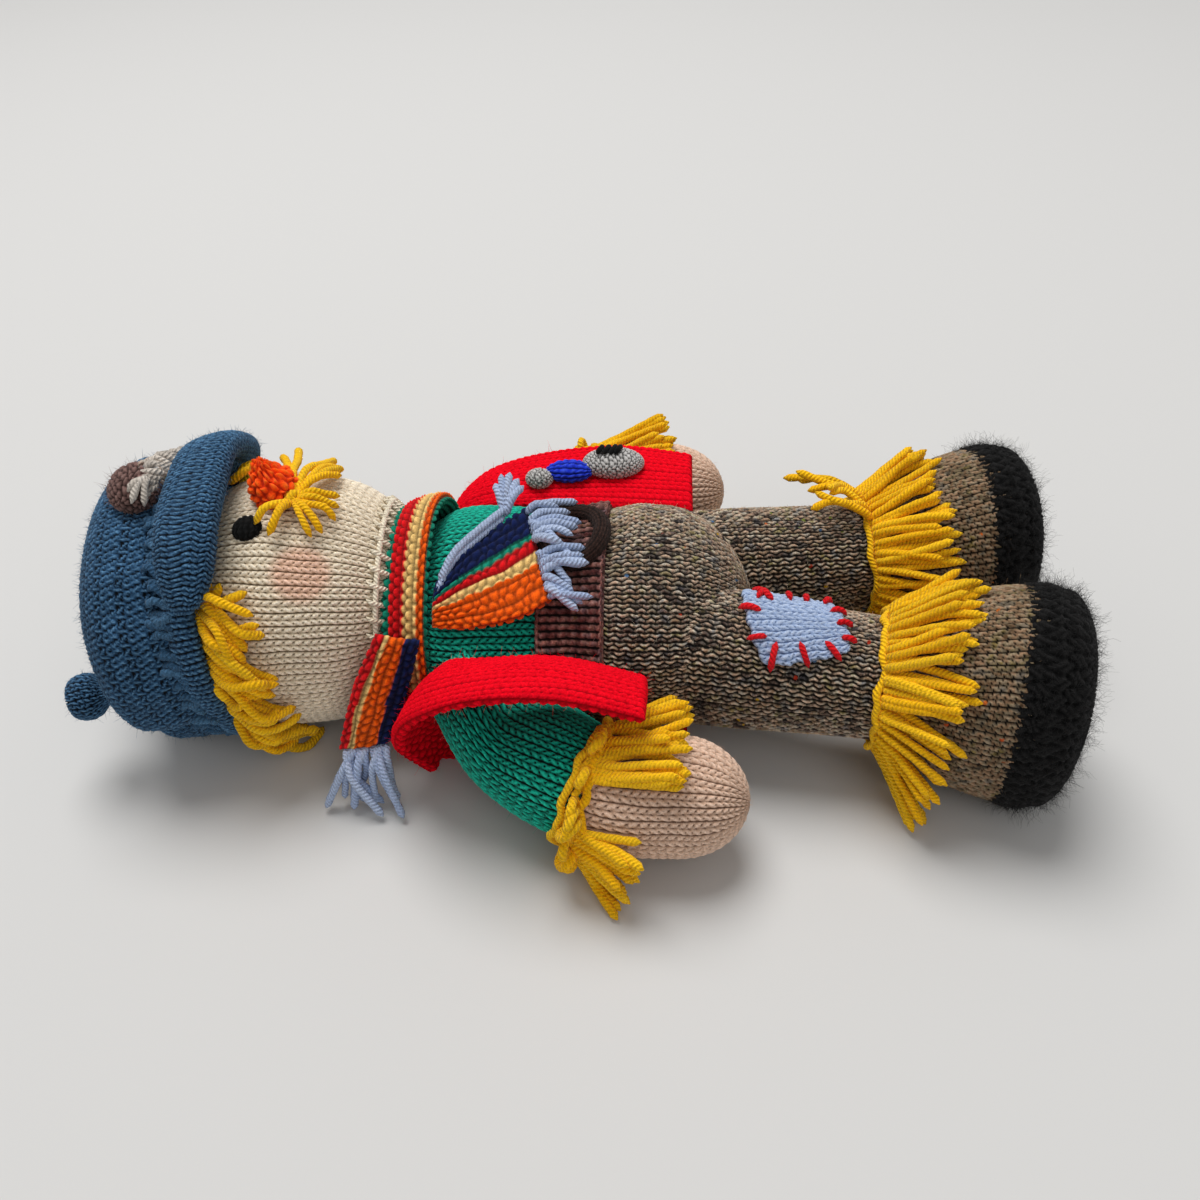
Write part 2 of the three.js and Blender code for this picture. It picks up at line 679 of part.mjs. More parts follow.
// Face: nose, eyes and a straw moustache
const FACE_UP = 90;
const noseSeat = head.skin(NOSE_AT, deg(FACE_UP), -NOSE_RADIUS * 0.5);
const noseOutline = [
  [0, 0],
  [NOSE_RADIUS * 0.8, 0],
  [NOSE_RADIUS, NOSE_LENGTH * 0.36],
  [NOSE_RADIUS * 0.85, NOSE_LENGTH * 0.6],
  [NOSE_RADIUS * 0.45, NOSE_LENGTH * 0.85],
  [NOSE_RADIUS * 0.3, NOSE_LENGTH],
  [0, NOSE_LENGTH * 1.08],
];
const noseSolid = standOn(turned(noseOutline, 14), noseSeat).subtract(headRoom);
piece(headGroup, "nose", noseSolid, ORANGE);
for (const [name, side] of [["right_eye", -1], ["left_eye", 1]]) {
  const eyeSeat = head.skin(EYE_AT, deg(FACE_UP + side * EYE_SPREAD));
  const eye = standOn(egg(EYE_RADIUS, EYE_RADIUS, EYE_RADIUS * 0.5, 12), eyeSeat).subtract(headRoom);
  piece(headGroup, name, eye, BLACK);
}
const moustacheAt = NOSE_AT + NOSE_RADIUS + STRAW * 0.8;
const moustacheRoot = head.skin(moustacheAt, deg(MOUSTACHE_ANGLE), GAP + STRAW);
const moustacheRuns = Array.from({ length: MOUSTACHE_STRANDS }, (_, i) => {
  const fan = deg(-125 + (250 * i) / (MOUSTACHE_STRANDS - 1));
  const own = MOUSTACHE_LENGTH * (0.85 + 0.2 * uneven(i, 11));
  return [0.15, 0.55, 1].map((share) => {
    const a = moustacheAt + own * share * Math.cos(fan);
    const angle = deg(MOUSTACHE_ANGLE) + (own * share * Math.sin(fan)) / HEAD_RADIUS;
    const out = GAP + STRAW * 0.7 + 5 * share * (1 - share) + 2.5 * share * (1 + uneven(i, 13));
    return head.skin(a, angle, out).point;
  });
});
const moustacheKnot = standOn(egg(STRAW * 1.3, STRAW * 1.3, STRAW * 0.9, 8), moustacheRoot);
const noseRoom = standOn(turned(noseOutline.map(([r, h]) => [r && r + GAP, h && h + GAP]), 14), noseSeat);
const moustache = tuft(moustacheKnot, moustacheRuns, STRAW).subtract(joined(headRoom, noseRoom));
piece(headGroup, "straw_moustache", moustache, YELLOW);

// Hat: a puffed crown that fits over the head, a rim, a peak, a knob and a badge of two pads
const crownLength = HAT_TOP + RIM_AT;
const hatLean = vec(-Math.cos(deg(HAT_TILT)), 0, -Math.sin(deg(HAT_TILT)));
const rimMiddle = vec(RIM_AT - HEAD_LENGTH, 0, 0);
const hatSpine = spineThrough(rimMiddle.clone().addScaledVector(hatLean, crownLength), rimMiddle);
const crownRadius = HEAD_RADIUS + HAT_OVERHANG;
const rimRadius = HEAD_RADIUS + RIM_THICKNESS;
const crown = stuffed({
  outline: halfOutline(
    crownLength * 0.6,
    [
      [crownLength * 0.6, crownRadius],
      [crownLength * 0.82, crownRadius * 0.99],
      [crownLength, rimRadius * 0.98],
    ],
    0,
  ),
  spine: hatSpine,
  ripple: (a, angle) => GATHER_DEPTH * Math.cos(HAT_GATHERS * angle) * Math.max(0, a / crownLength - 0.4),
  sides: HAT_GATHERS * 2,
});
const headFloor = below(0, headGroup);
piece(headGroup, "hat_crown", crown.solid().subtract(joined(headRoom, headFloor)), STEEL_BLUE);
const rim = stuffed({
  outline: halfOutline(
    0,
    [
      [crownLength + GAP, rimRadius],
      [crownLength + GAP + RIM_WIDTH / 2, rimRadius],
      [crownLength + GAP + RIM_WIDTH, rimRadius * 0.98],
    ],
    0,
  ),
  spine: hatSpine,
  sides: 24,
  rings: 3,
});
piece(headGroup, "hat_rim", rim.solid().subtract(joined(headRoom, headFloor)), STEEL_BLUE);
const PEAK_STEPS = 8;
const peakEdge = (free) =>
  Array.from({ length: PEAK_STEPS + 1 }, (_, i) => {
    const share = (2 * i) / PEAK_STEPS - 1;
    const reach = free * PEAK_REACH * (1 - 0.7 * share ** 2);
    const a = crownLength + RIM_WIDTH / 2 + reach;
    const angle = deg(FACE_UP + PEAK_SPREAD * share);
    const frame = hatSpine(a);
    const out = rimRadius + GAP + PEAK_THICKNESS * 0.35 + reach * 0.35;
    return frame.point
      .addScaledVector(frame.side, out * Math.cos(angle))
      .addScaledVector(frame.up, out * Math.sin(angle));
  });
const peakRoom = joined(rim.solid(GAP), crown.solid(GAP), headRoom);
const peakForm = (grow) => strip(peakEdge(0), peakEdge(1), PEAK_THICKNESS + 2 * grow, PEAK_CROWN, 12, 3);
piece(headGroup, "hat_peak", peakForm(0).subtract(peakRoom), STEEL_BLUE);
const peakKeep = peakForm(GAP);
const knobOutline = [
  [0, 0],
  [KNOB_RADIUS * 0.7, 0],
  [KNOB_RADIUS * 0.62, KNOB_LENGTH * 0.25],
  [KNOB_RADIUS, KNOB_LENGTH * 0.6],
  [KNOB_RADIUS * 0.8, KNOB_LENGTH * 0.9],
  [0, KNOB_LENGTH],
];
const knobSeat = crown.skin(crownLength * 0.16, deg(KNOB_ANGLE), -KNOB_LENGTH * 0.12);
knobSeat.normal.add(hatLean.clone().multiplyScalar(1.6)).normalize();
const crownRoom = joined(crown.solid(GAP), headFloor);
piece(headGroup, "hat_knob", standOn(turned(knobOutline, 12), knobSeat).subtract(crownRoom), STEEL_BLUE);
const padSize = (grow) => [PAD_LENGTH / 2 + grow, PAD_WIDTH / 2 + grow, PAD_HEIGHT + grow];
const padSeat = crown.skin(PAD_AT, deg(FACE_UP));
piece(headGroup, "hat_pad", standOn(egg(...padSize(0), 12), padSeat).subtract(crownRoom), BROWN);
const leafSeat = crown.skin(PAD_AT + PAD_LENGTH * 0.75, deg(FACE_UP));
const padRoom = standOn(egg(...padSize(GAP), 12), padSeat);
const leaf = standOn(egg(PAD_LENGTH / 2, PAD_WIDTH * 0.6, PAD_HEIGHT * 0.8, 12), leafSeat);
const hatRoom = joined(crownRoom, padRoom, rim.solid(GAP), peakKeep);
piece(headGroup, "hat_leaf", leaf.subtract(hatRoom), MOUSE_GREY);

// Hair: straw along the rim on each side of the head
function makeHair(side) {
  const edge = crownLength + GAP + RIM_WIDTH + STRAW * 0.8;
  const onHead = (angle, run, out) => {
    const { point, side: across, up } = hatSpine(edge);
    point.addScaledVector(across, HEAD_RADIUS * Math.cos(angle)).addScaledVector(up, HEAD_RADIUS * Math.sin(angle));
    const around = Math.atan2(point.z, -point.y);
    return head.skin(point.x + HEAD_LENGTH + run, around, out).point;
  };
  const first = FACE_UP + side * (PEAK_SPREAD - HAIR_UNDER_PEAK);
  const angles = Array.from({ length: HAIR_STRANDS }, (_, i) => {
    return deg(first + (side * HAIR_SPREAD * i) / (HAIR_STRANDS - 1));
  });
  const band = strand(angles.map((angle) => onHead(angle, 0, GAP + STRAW * 0.7)), STRAW * 1.2, 10);
  const runs = angles.map((angle, i) => {
    const own = HAIR_LENGTH * (0.85 + 0.25 * uneven(i, 17));
    const lean = -side * (0.1 + 0.12 * uneven(i, 19));
    return [0, 0.35, 0.7, 1].map((share) => {
      const out = GAP + STRAW * 0.75 + 4 * share * (1.2 + uneven(i, 23)) * (1 - 0.5 * share);
      return onHead(angle + lean * share, own * share, out);
    });
  });
  return tuft(band, runs, STRAW).subtract(joined(headRoom, headFloor, peakKeep));
}
piece(headGroup, "right_hair", makeHair(RIGHT), YELLOW);
piece(headGroup, "left_hair", makeHair(LEFT), YELLOW);

// The roll of scarf round the neck
const collar = stuffed({
  outline: halfOutline(
    0,
    [
      [0, COLLAR_RADIUS * 0.93],
      [SCARF_WIDTH / 2, COLLAR_RADIUS],
      [SCARF_WIDTH, COLLAR_RADIUS * 1.04],
    ],
    0,
  ),
  spine: spineThrough(
    vec(NECK_X - SCARF_WIDTH * 0.35, 0, TRUNK_Z + 3),
    vec(NECK_X + SCARF_WIDTH * 0.65, 0, TRUNK_Z + 3),
  ),
  sides: 20,
  rings: 4,
});

// Waistcoat: a flat back under the trunk and two open fronts that stand up at the shoulder
const vestStart = NECK_X + VEST_START;
const vestEnd = vestStart + VEST_BACK_LENGTH;
const backShape = new THREE.Shape();
backShape.moveTo(vestStart, -VEST_HALF_WIDTH);
backShape.lineTo(vestEnd, -VEST_HALF_WIDTH);
backShape.lineTo(vestEnd, VEST_HALF_WIDTH);
backShape.lineTo(vestStart, VEST_HALF_WIDTH);
backShape.lineTo(vestStart, NECK_RADIUS);
backShape.quadraticCurveTo(vestStart + VEST_NECK_DROP, 0, vestStart, -NECK_RADIUS);
const backPanel = new THREE.ExtrudeGeometry(backShape, { depth: KNIT, bevelEnabled: false, curveSegments: 8 });
piece(doll, "vest_back", solidOf(backPanel), RED);

// A front through rows from the neck to the hem: how far along, then how far out and up its arm edge
// and its middle edge are
function vestFront(side, rows, grow = 0) {
  const at = (along, out, high) => vec(vestStart + VEST_LENGTH * along, side * out, BACK_TOP + high);
  const armEdge = rows.map(([along, out, high]) => at(along, out, high));
  const middleEdge = rows.map(([along, , , out, high]) => at(along, out, high));
  const front = strip(armEdge, middleEdge, KNIT + 2 * grow, 0, 14, 4);
  const within = [torso.solid(GAP), seat.solid(GAP), beltForm(GAP), collar.solid(GAP), underTrunk];
  return front.subtract(joined(...within));
}
const rightRows = [
  [0.05, 45, 0, 32, 0],
  [0.01, 54, 22, 38, 28],
  [0.07, 65, 46, 46, 50],
  [0.22, 72, 62, 50, 56],
  [0.48, 75, 67, 49, 56],
  [0.74, 77, 61, 55, 53],
];
piece(doll, "vest_right_front", vestFront(RIGHT, rightRows), RED);
const leftRows = [
  [0.05, 45, 0, 32, 0],
  [0.01, 52, 26, 37, 28],
  [0.07, 57, 50, 38, 52],
  [0.24, 62, 60, 37, 59],
  [0.58, 69, 62, 35, 60],
  [0.88, 61, 63, 32, 61],
];
const leftFront = vestFront(LEFT, leftRows, GAP);
piece(doll, "vest_left_front", vestFront(LEFT, leftRows), RED);

// Mouse on the left front: a head with a stitched nose, a wrapped body and a bobble tail
const mouseX = vestStart + VEST_LENGTH * MOUSE_AT;
const onVest = (x, y, sizes, grow = 0) => {
  const column = block(vec(x - GAP, y - GAP, 0), vec(x + GAP, y + GAP, FAR));
  const height = leftFront.intersect(column).boundingBox().max[2];
  const half = sizes.map((size) => size / 2 + grow);
  return egg(...half, 12).translate(x, y, height + sizes[2] * 0.35);
};
const mouseHead = (grow) => onVest(mouseX, MOUSE_OUT, [MOUSE_LENGTH, MOUSE_WIDTH, MOUSE_HEIGHT], grow);
piece(doll, "mouse_head", mouseHead(0).subtract(leftFront), MOUSE_GREY);
const mouseTop = mouseHead(0).boundingBox().max[2];
const mouseNose = egg(MOUSE_NOSE / 2, MOUSE_NOSE * 0.35, MOUSE_NOSE * 0.25, 8);
const noseX = mouseX - MOUSE_LENGTH * 0.1;
piece(doll, "mouse_nose", mouseNose.translate(noseX, MOUSE_OUT, mouseTop).subtract(mouseHead(GAP)), BLACK);
const bodyX = mouseX - (MOUSE_LENGTH + MOUSE_BODY) / 2 - GAP;
const bodyY = MOUSE_OUT - MOUSE_WIDTH * 0.3;
const mouseBody = onVest(bodyX, bodyY, [MOUSE_BODY, MOUSE_BODY * 0.9, MOUSE_BODY * 0.8]);
piece(doll, "mouse_body", mouseBody.subtract(leftFront), BRIGHT_BLUE);
const bobbleX = bodyX - (MOUSE_BODY + MOUSE_BOBBLE) / 2 - GAP;
const bobble = onVest(bobbleX, MOUSE_OUT - MOUSE_WIDTH * 0.55, [MOUSE_BOBBLE, MOUSE_BOBBLE, MOUSE_BOBBLE]);
piece(doll, "mouse_bobble", bobble.subtract(leftFront), MOUSE_GREY);

// Scarf: a collar round the neck, one tail over the chest and one down the right side, each with tassels
const neckRoom = joined(torso.solid(GAP), headTurned, underTrunk, ...shoulderRoom);
piece(doll, "scarf_collar", collar.solid().subtract(neckRoom), ORANGE);

// A row of tassels: a bar along the end of a tail and strands that hang from it
function tassels(rootAt, endAt) {
  const shares = Array.from({ length: TASSEL_STRANDS }, (_, i) => i / (TASSEL_STRANDS - 1));
  const bar = strand(shares.map(rootAt), TASSEL_YARN * 1.1, 6);
  const runs = shares.map((share, i) => {
    const [root, end] = [rootAt(share), endAt(share, uneven(i, 31))];
    return [root, root.clone().lerp(end, 0.5).add(vec(0, 0, TASSEL_YARN * 0.3)), end];
  });
  return tuft(bar, runs, TASSEL_YARN);
}

// The front tail lies on the chest; its edges run along the trunk and round it
const tailOut = GAP + SCARF_THICKNESS / 2 + 0.4;
const overBelt = (a) => (BELT_THICKNESS + GAP) * THREE.MathUtils.smoothstep(a, tailStart, beltEdge - GAP);
const onChest = ([a, angle]) => torso.skin(a, deg(angle), tailOut + overBelt(a)).point;
const tailStart = SCARF_WIDTH * 0.65 + SCARF_THICKNESS;
const beltEdge = TORSO_LENGTH - BELT_WIDTH / 2;
const tailEnd = beltEdge + TAIL_OVER_BELT;
const tailAt = (share) => THREE.MathUtils.lerp(tailStart, tailEnd, share);
const lowEdge = [[tailAt(0), 40], [tailAt(0.35), 35], [tailAt(0.7), 40], [tailAt(1), 54]];
const highEdge = [[tailAt(0), 54], [tailAt(0.22), 80], [tailAt(0.48), 94], [tailAt(0.72), 104]];
const frontTail = strip(lowEdge.map(onChest), highEdge.map(onChest), SCARF_THICKNESS, 0, 10, 4);
piece(doll, "scarf_front_tail", frontTail.subtract(joined(beltForm(GAP), torso.solid(GAP))), ORANGE);
const frontRoot = (share) => {
  const a = THREE.MathUtils.lerp(tailAt(1), tailAt(0.72), share) + GAP + TASSEL_YARN;
  return torso.skin(a, deg(THREE.MathUtils.lerp(56, 102, share)), tailOut + overBelt(a)).point;
};
const frontEnd = (share, loose) => {
  const a = tailAt(1) + TASSEL_LENGTH * (0.75 - 0.85 * share + 0.08 * loose);
  const angle = THREE.MathUtils.lerp(52, 98, share) + 4 * loose;
  return torso.skin(a, deg(angle), BELT_THICKNESS + BUCKLE_TUBE + TASSEL_YARN).point;
};
const underTassels = joined(beltForm(GAP), buckle(GAP), torso.solid(GAP));
piece(doll, "front_tassels", tassels(frontRoot, frontEnd).subtract(underTassels), PALE_BLUE);

// The side tail hangs from the collar beside the head, and its tassels reach the floor
const sideX = NECK_X + SIDE_TAIL_AT;
const sideEdge = (wide) => {
  const out = COLLAR_RADIUS + SCARF_THICKNESS;
  const half = (SIDE_TAIL_TOP + SIDE_TAIL_FOOT) / 2;
  return [
    vec(sideX - wide * SIDE_TAIL_WIDTH * 0.8, -out, SIDE_TAIL_TOP),
    vec(sideX - wide * SIDE_TAIL_WIDTH, -out - SCARF_THICKNESS, half),
    vec(sideX - wide * SIDE_TAIL_WIDTH * 1.15, -out - SCARF_THICKNESS * 1.6, SIDE_TAIL_FOOT),
  ];
};
piece(doll, "scarf_side_tail", strip(sideEdge(0), sideEdge(1), SCARF_THICKNESS, 0, 8, 4), ORANGE);
const sideRoot = (share) => {
  const end = sideEdge(0)[2].lerp(sideEdge(1)[2], share);
  return end.setZ(end.z - GAP - TASSEL_YARN * 0.75);
};
const sideEnd = (share, loose) => {
  const root = sideRoot(share);
  const [spread, splay] = [TASSEL_YARN * loose, TASSEL_LENGTH * (0.35 + 0.12 * loose)];
  return vec(root.x - TASSEL_YARN + spread, root.y - splay, TASSEL_YARN * 0.6);
};
piece(doll, "side_tassels", tassels(sideRoot, sideEnd), PALE_BLUE);

export default doll;
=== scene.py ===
# Knitted scarecrow doll lying on its back, dressed over its solids. Shapes are written in millimetres.
import math

import bpy
import numpy as np
from mathutils import Matrix, Vector


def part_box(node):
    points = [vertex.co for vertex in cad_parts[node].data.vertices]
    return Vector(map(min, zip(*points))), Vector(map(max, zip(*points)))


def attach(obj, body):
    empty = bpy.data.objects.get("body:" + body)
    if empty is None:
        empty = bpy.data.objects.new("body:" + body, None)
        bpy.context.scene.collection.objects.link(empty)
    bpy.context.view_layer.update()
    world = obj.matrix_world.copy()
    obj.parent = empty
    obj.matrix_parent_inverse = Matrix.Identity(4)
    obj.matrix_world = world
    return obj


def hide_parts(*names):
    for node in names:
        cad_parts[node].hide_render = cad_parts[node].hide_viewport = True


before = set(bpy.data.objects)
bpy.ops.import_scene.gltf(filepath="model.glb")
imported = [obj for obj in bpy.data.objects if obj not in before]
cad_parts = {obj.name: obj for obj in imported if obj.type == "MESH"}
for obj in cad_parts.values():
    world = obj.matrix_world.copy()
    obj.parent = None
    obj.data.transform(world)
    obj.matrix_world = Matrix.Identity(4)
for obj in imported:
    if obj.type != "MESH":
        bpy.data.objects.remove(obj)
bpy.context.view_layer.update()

MM = 0.001
TAU = 2 * math.pi
random = np.random.default_rng(11)


# Small helpers for lines and directions

def unit(v):
    return v / np.maximum(np.linalg.norm(v, axis=-1, keepdims=True), 1e-9)


def step(x, low, high):
    t = np.clip((x - low) / (high - low), 0, 1)
    return t * t * (3 - 2 * t)


def smooth_line(points, count=240, closed=False):
    """A smooth line through points."""
    p = np.asarray(points, float)
    if closed:
        p = np.vstack([p[-1], p, p[0], p[1]])
    else:
        p = np.vstack([2 * p[0] - p[1], p, 2 * p[-1] - p[-2]])
    t = np.linspace(0, len(p) - 3 - 1e-9, count)
    i = t.astype(int)
    f = (t - i)[:, None]
    a, b, c, d = p[i], p[i + 1], p[i + 2], p[i + 3]
    bend = (2 * a - 5 * b + 4 * c - d) * f ** 2 + (3 * b - a - 3 * c + d) * f ** 3
    return 0.5 * (2 * b + (c - a) * f + bend)


def lengths(line):
    return np.r_[0, np.linalg.norm(np.diff(line, axis=0), axis=1).cumsum()]


def at_length(line, s):
    """Points of a line at lengths along it."""
    run = lengths(line)
    return np.stack([np.interp(s, run, line[:, k]) for k in range(line.shape[1])], -1)


def at_share(line, v):
    """Points of a line at shares of its length."""
    return at_length(line, v * lengths(line)[-1])


def above(points, height):
    """Points lifted to at least a height over the floor."""
    return np.maximum(points, [-math.inf, -math.inf, height])


def turn(x, y, z):
    """Rotation about X, then Y, then Z of the turned axes, in degrees."""
    cx, cy, cz = (math.cos(math.radians(v)) for v in (x, y, z))
    sx, sy, sz = (math.sin(math.radians(v)) for v in (x, y, z))
    about_x = np.array([[1, 0, 0], [0, cx, -sx], [0, sx, cx]])
    about_y = np.array([[cy, 0, sy], [0, 1, 0], [-sy, 0, cy]])
    about_z = np.array([[cz, -sz, 0], [sz, cz, 0], [0, 0, 1]])
    return about_x @ about_y @ about_z


class Form:
    """A stuffed shape: a half outline turned round a spine, in a place of its own."""

    def __init__(self, knots, spine, start=0, end=0, deep=(1, 1), place=(0, 0, 0), turned=None):
        line = smooth_line(knots)
        arc = np.linspace(0, math.pi / 2, 40)[:, None]
        if start:
            a, r = knots[0]
            line = np.vstack([np.hstack([a - start * np.cos(arc), r * np.sin(arc)])[:-1], line])
        if end:
            a, r = knots[-1]
            line = np.vstack([line, np.hstack([a + end * np.sin(arc), r * np.cos(arc)])[1:]])
        self.line = line
        self.spine = smooth_line(spine)
        self.reach = lengths(self.spine)[-1]
        self.deep = deep
        self.place = np.asarray(place, float)
        self.turned = np.eye(3) if turned is None else turned

    def directions(self, a):
        inside = np.clip(a, 0, self.reach)
        ahead = at_length(self.spine, np.minimum(inside + 0.5, self.reach))
        behind = at_length(self.spine, np.maximum(inside - 0.5, 0))
        along = unit(ahead - behind)
        point = at_length(self.spine, inside) + along * (a - inside)[..., None]
        side = unit(np.cross(along, [0, 0, 1.0]))
        return point, along, side, np.cross(side, along)

    def put(self, a, r, angle, out=0):
        """Points at a length along the form, at a radius and an angle from its right side upwards."""
        a, r, angle = np.broadcast_arrays(np.asarray(a, float), r, angle)
        point, _, side, up = self.directions(a)
        low, high = self.line[0, 0], self.line[-1, 0]
        deep = np.interp(a, [low, high], self.deep)
        p = point + side * ((r + out) * np.cos(angle))[..., None]
        p = p + up * ((r * deep + out) * np.sin(angle))[..., None]
        return p @ self.turned.T + self.place

    def radius(self, a):
        return np.interp(a, self.line[:, 0], self.line[:, 1])

    def skin(self, a, angle, out=0):
        """Points over the skin; the angle is in degrees."""
        a = np.asarray(a, float)
        return self.put(a, self.radius(a), np.radians(angle), out)

    def normal(self, a, angle):
        a, angle = np.broadcast_arrays(np.asarray(a, float), np.asarray(angle, float))
        across = self.skin(a, angle - 2) - self.skin(a, angle + 2)
        along = self.skin(a + 0.5, angle) - self.skin(a - 0.5, angle)
        return unit(np.cross(across, along))

    def surface(self, low=None, high=None, out=0, floor=None, lumps=0.0):
        """The skin between two lengths as a function of shares round it and along it."""
        run = lengths(self.line)
        ends = [np.interp(x, self.line[:, 0], run) if x is not None else d
                for x, d in ((low, 0), (high, run[-1]))]

        def points(u, v):
            s = ends[0] + (ends[1] - ends[0]) * v
            a, r = at_length(self.line, s).T
            p = self.put(a, r, -math.pi / 2 - TAU * u, np.where(r > 0.01, out, 0))
            if lumps:
                swell = np.sin(p[:, 0] / 9.1 + 1) + np.sin(p[:, 1] / 7.7 + 2) + np.sin(p[:, 2] / 8.3)
                outward = unit(p - self.put(a, 0 * r, 0 * a))
                p = p + outward * (lumps * swell / 3 * np.minimum(1, r / 8))[:, None]
            return p if floor is None else above(p, floor)

        points.long = ends[1] - ends[0]
        points.round = TAU * self.line[:, 1].max() * (1 + sum(self.deep) / 2) / 2
        return points


# The doll's forms, where its solids are

NECK_X, WAIST_X, SEAT_END, TRUNK_Z = -67.0, -7.0, 59.0, 40.08
TRUNK_DEPTH = 0.82
HEAD_LENGTH, HEAD_RADIUS = 88.0, 46.5
HEAD_PLACE, HEAD_TURN = (-67.3, 0, 46), turn(-2, 4, 3)
HAT_LENGTH = 40.0
SLEEVE_LENGTH, HAND_LENGTH = 53.0, 52.0
LEG_LENGTH, LEG_RADIUS, BOOT_LENGTH = 62.0, 21.5, 47.0
ANKLE, SOLE = LEG_LENGTH + 0.3, LEG_LENGTH + 0.3 + BOOT_LENGTH

torso = Form([(0, 27), (6, 37), (18, 44), (40.8, 44), (60, 39.5)],
             [(NECK_X, 0, TRUNK_Z), (WAIST_X, 0, TRUNK_Z)], deep=(TRUNK_DEPTH, TRUNK_DEPTH))
seat = Form([(0, 39.5), (19.8, 45), (29.7, 45)],
            [(WAIST_X, 0, TRUNK_Z), (SEAT_END, 0, TRUNK_Z)], end=34, deep=(TRUNK_DEPTH, TRUNK_DEPTH))
head = Form([(44, HEAD_RADIUS), (66.9, 42.8), (81.8, 33.5), (88, 27)],
            [(-HEAD_LENGTH, 0, 0), (0, 0, 0)], start=44, place=HEAD_PLACE, turned=HEAD_TURN)
hat_lean = np.array([-math.cos(math.radians(9)), 0, -math.sin(math.radians(9))])
hat_foot = np.array([-72.0, 0, 0])
hat = Form([(22, 52), (30, 51.8), (36, 49.8), (40, 46.2)],
           [hat_foot + hat_lean * HAT_LENGTH, hat_foot], start=22, place=HEAD_PLACE, turned=HEAD_TURN)


def arm_forms(side, spread, drop):
    reach = SLEEVE_LENGTH + HAND_LENGTH
    spine = [(0, 0, 0), (reach * 0.15, side * reach * spread * 0.6, drop * 0.4),
             (reach * 0.38, side * reach * spread, drop * 0.85),
             (reach * 0.68, side * reach * spread * 1.05, drop)]
    place = (-37, side * 38, 38)
    sleeve = Form([(0, 20), (26.5, 21.2), (48, 19.6), (54, 18.6)], spine, start=20, place=place)
    hand = Form([(50, 17.5), (56, 18.8), (69, 20), (82, 20)], spine, end=23.4, place=place)
    return sleeve, hand


def leg_forms(side):
    spine = [(0, 0, 0), (LEG_LENGTH, 0, 0)]
    where = {"place": (39, side * 22.5, TRUNK_Z), "turned": turn(0, 0, side * 10)}
    leg = Form([(0, 22.5), (15, 22.2), (31, LEG_RADIUS), (LEG_LENGTH + 3, 21)], spine, start=22.5,
               deep=(1.22, 1), **where)
    boot = Form([(ANKLE - 4, 18.5), (ANKLE + 3, 22.5), (ANKLE + 16.5, 28.4), (ANKLE + 35, 31.5),
                 (SOLE - 2, 31)], spine, deep=(1, 1.3), **where)
    sole = Form([(SOLE - 9, 30.6), (SOLE - 7, 32.4), (SOLE, 33), (SOLE + 5, 31.6)], spine, end=12.8,
                deep=(1.24, 1.3), **where)
    return leg, boot, sole


SIDES = {"right": -1, "left": 1}
arms = {"right": arm_forms(-1, 0.33, -12.6), "left": arm_forms(1, 0.4, 0.0)}
legs = {name: leg_forms(side) for name, side in SIDES.items()}


# Stitches: the height of the yarn, from 0 in the gaps to 1 on top, over stitch columns x and rows y, and
# which column and row each place belongs to

def stocking_stitch(x, y):
    """Plain knitting: columns of V shapes, whose two legs are long strokes side by side."""
    t = np.abs(2 * (x % 1) - 1)
    slope = y - 1.2 * t
    leg = 0.05 + 0.95 * np.sin(math.pi * (slope % 1)) ** 0.6
    high = leg * (1 - 0.88 * step(t, 0.68, 1)) * (1 - 0.62 * step(t, 0.32, 0))
    return high, np.floor(2 * x), np.floor(slope)


def purl_stitch(x, y, long=0.4, thin=0.19, arch=0.05):
    """Purl and garter knitting: rows of short bumps, each set between those of the next row."""
    high = column = row = 0
    for k, middle in enumerate((0.25, 0.75)):
        dx = (x - middle + 0.5) % 1 - 0.5
        bend = arch * (1 - 2 * k) * np.cos(TAU * dx)
        dy = (y - middle - bend + 0.5) % 1 - 0.5
        bump = np.exp(-np.abs(dx / long) ** 4 - (dy / thin) ** 2)
        column = np.where(bump > high, 2 * np.floor(x - middle + 0.5) + k, column)
        row = np.where(bump > high, 2 * np.floor(y - middle - bend + 0.5) + k, row)
        high = np.maximum(high, bump)
    return high, column, row


def knobbly(x, y):
    """Moss knitting: round knobs."""
    return purl_stitch(x, y, 0.32, 0.24, 0.0)


def tweed_stitch(x, y):
    """Thin purl bumps in rows along the rows' own direction."""
    high, row, column = purl_stitch(y, x, 0.44, 0.15, 0.11)
    return high, column, row


def rib_stitch(x, y):
    """Ridges across the rows."""
    ridge = np.abs(np.sin(math.pi * y)) ** 0.6
    return ridge * (0.72 + 0.28 * np.sin(TAU * (x + 0.6 * (y % 1)))), np.floor(2 * x), np.floor(y)


def boucle(x, y):
    """Curly yarn: rounded clumps in no order."""
    wave = np.sin(TAU * x + 2.1 * np.sin(math.pi * y)) * np.sin(TAU * y + 1.7 * np.sin(TAU * x))
    return 0.5 + 0.5 * wave, np.floor(2 * x), np.floor(2 * y)


def sideways(stitch):
    return lambda x, y: stitch(y, x)


def slanted(stitch, shift):
    """A stitch whose columns move over by that many as the rows go on."""
    return lambda x, y: stitch(x + shift * y, y)


def either(choice, one, other):
    """One stitch where a choice is true, another elsewhere."""
    return [np.where(choice, a, b) for a, b in zip(one, other)]


# Materials

def linear(code):
    """An sRGB hex colour as linear RGBA."""
    parts = [int(code[i:i + 2], 16) / 255 for i in (1, 3, 5)]
    return [c / 12.92 if c <= 0.04045 else ((c + 0.055) / 1.055) ** 2.4 for c in parts] + [1.0]


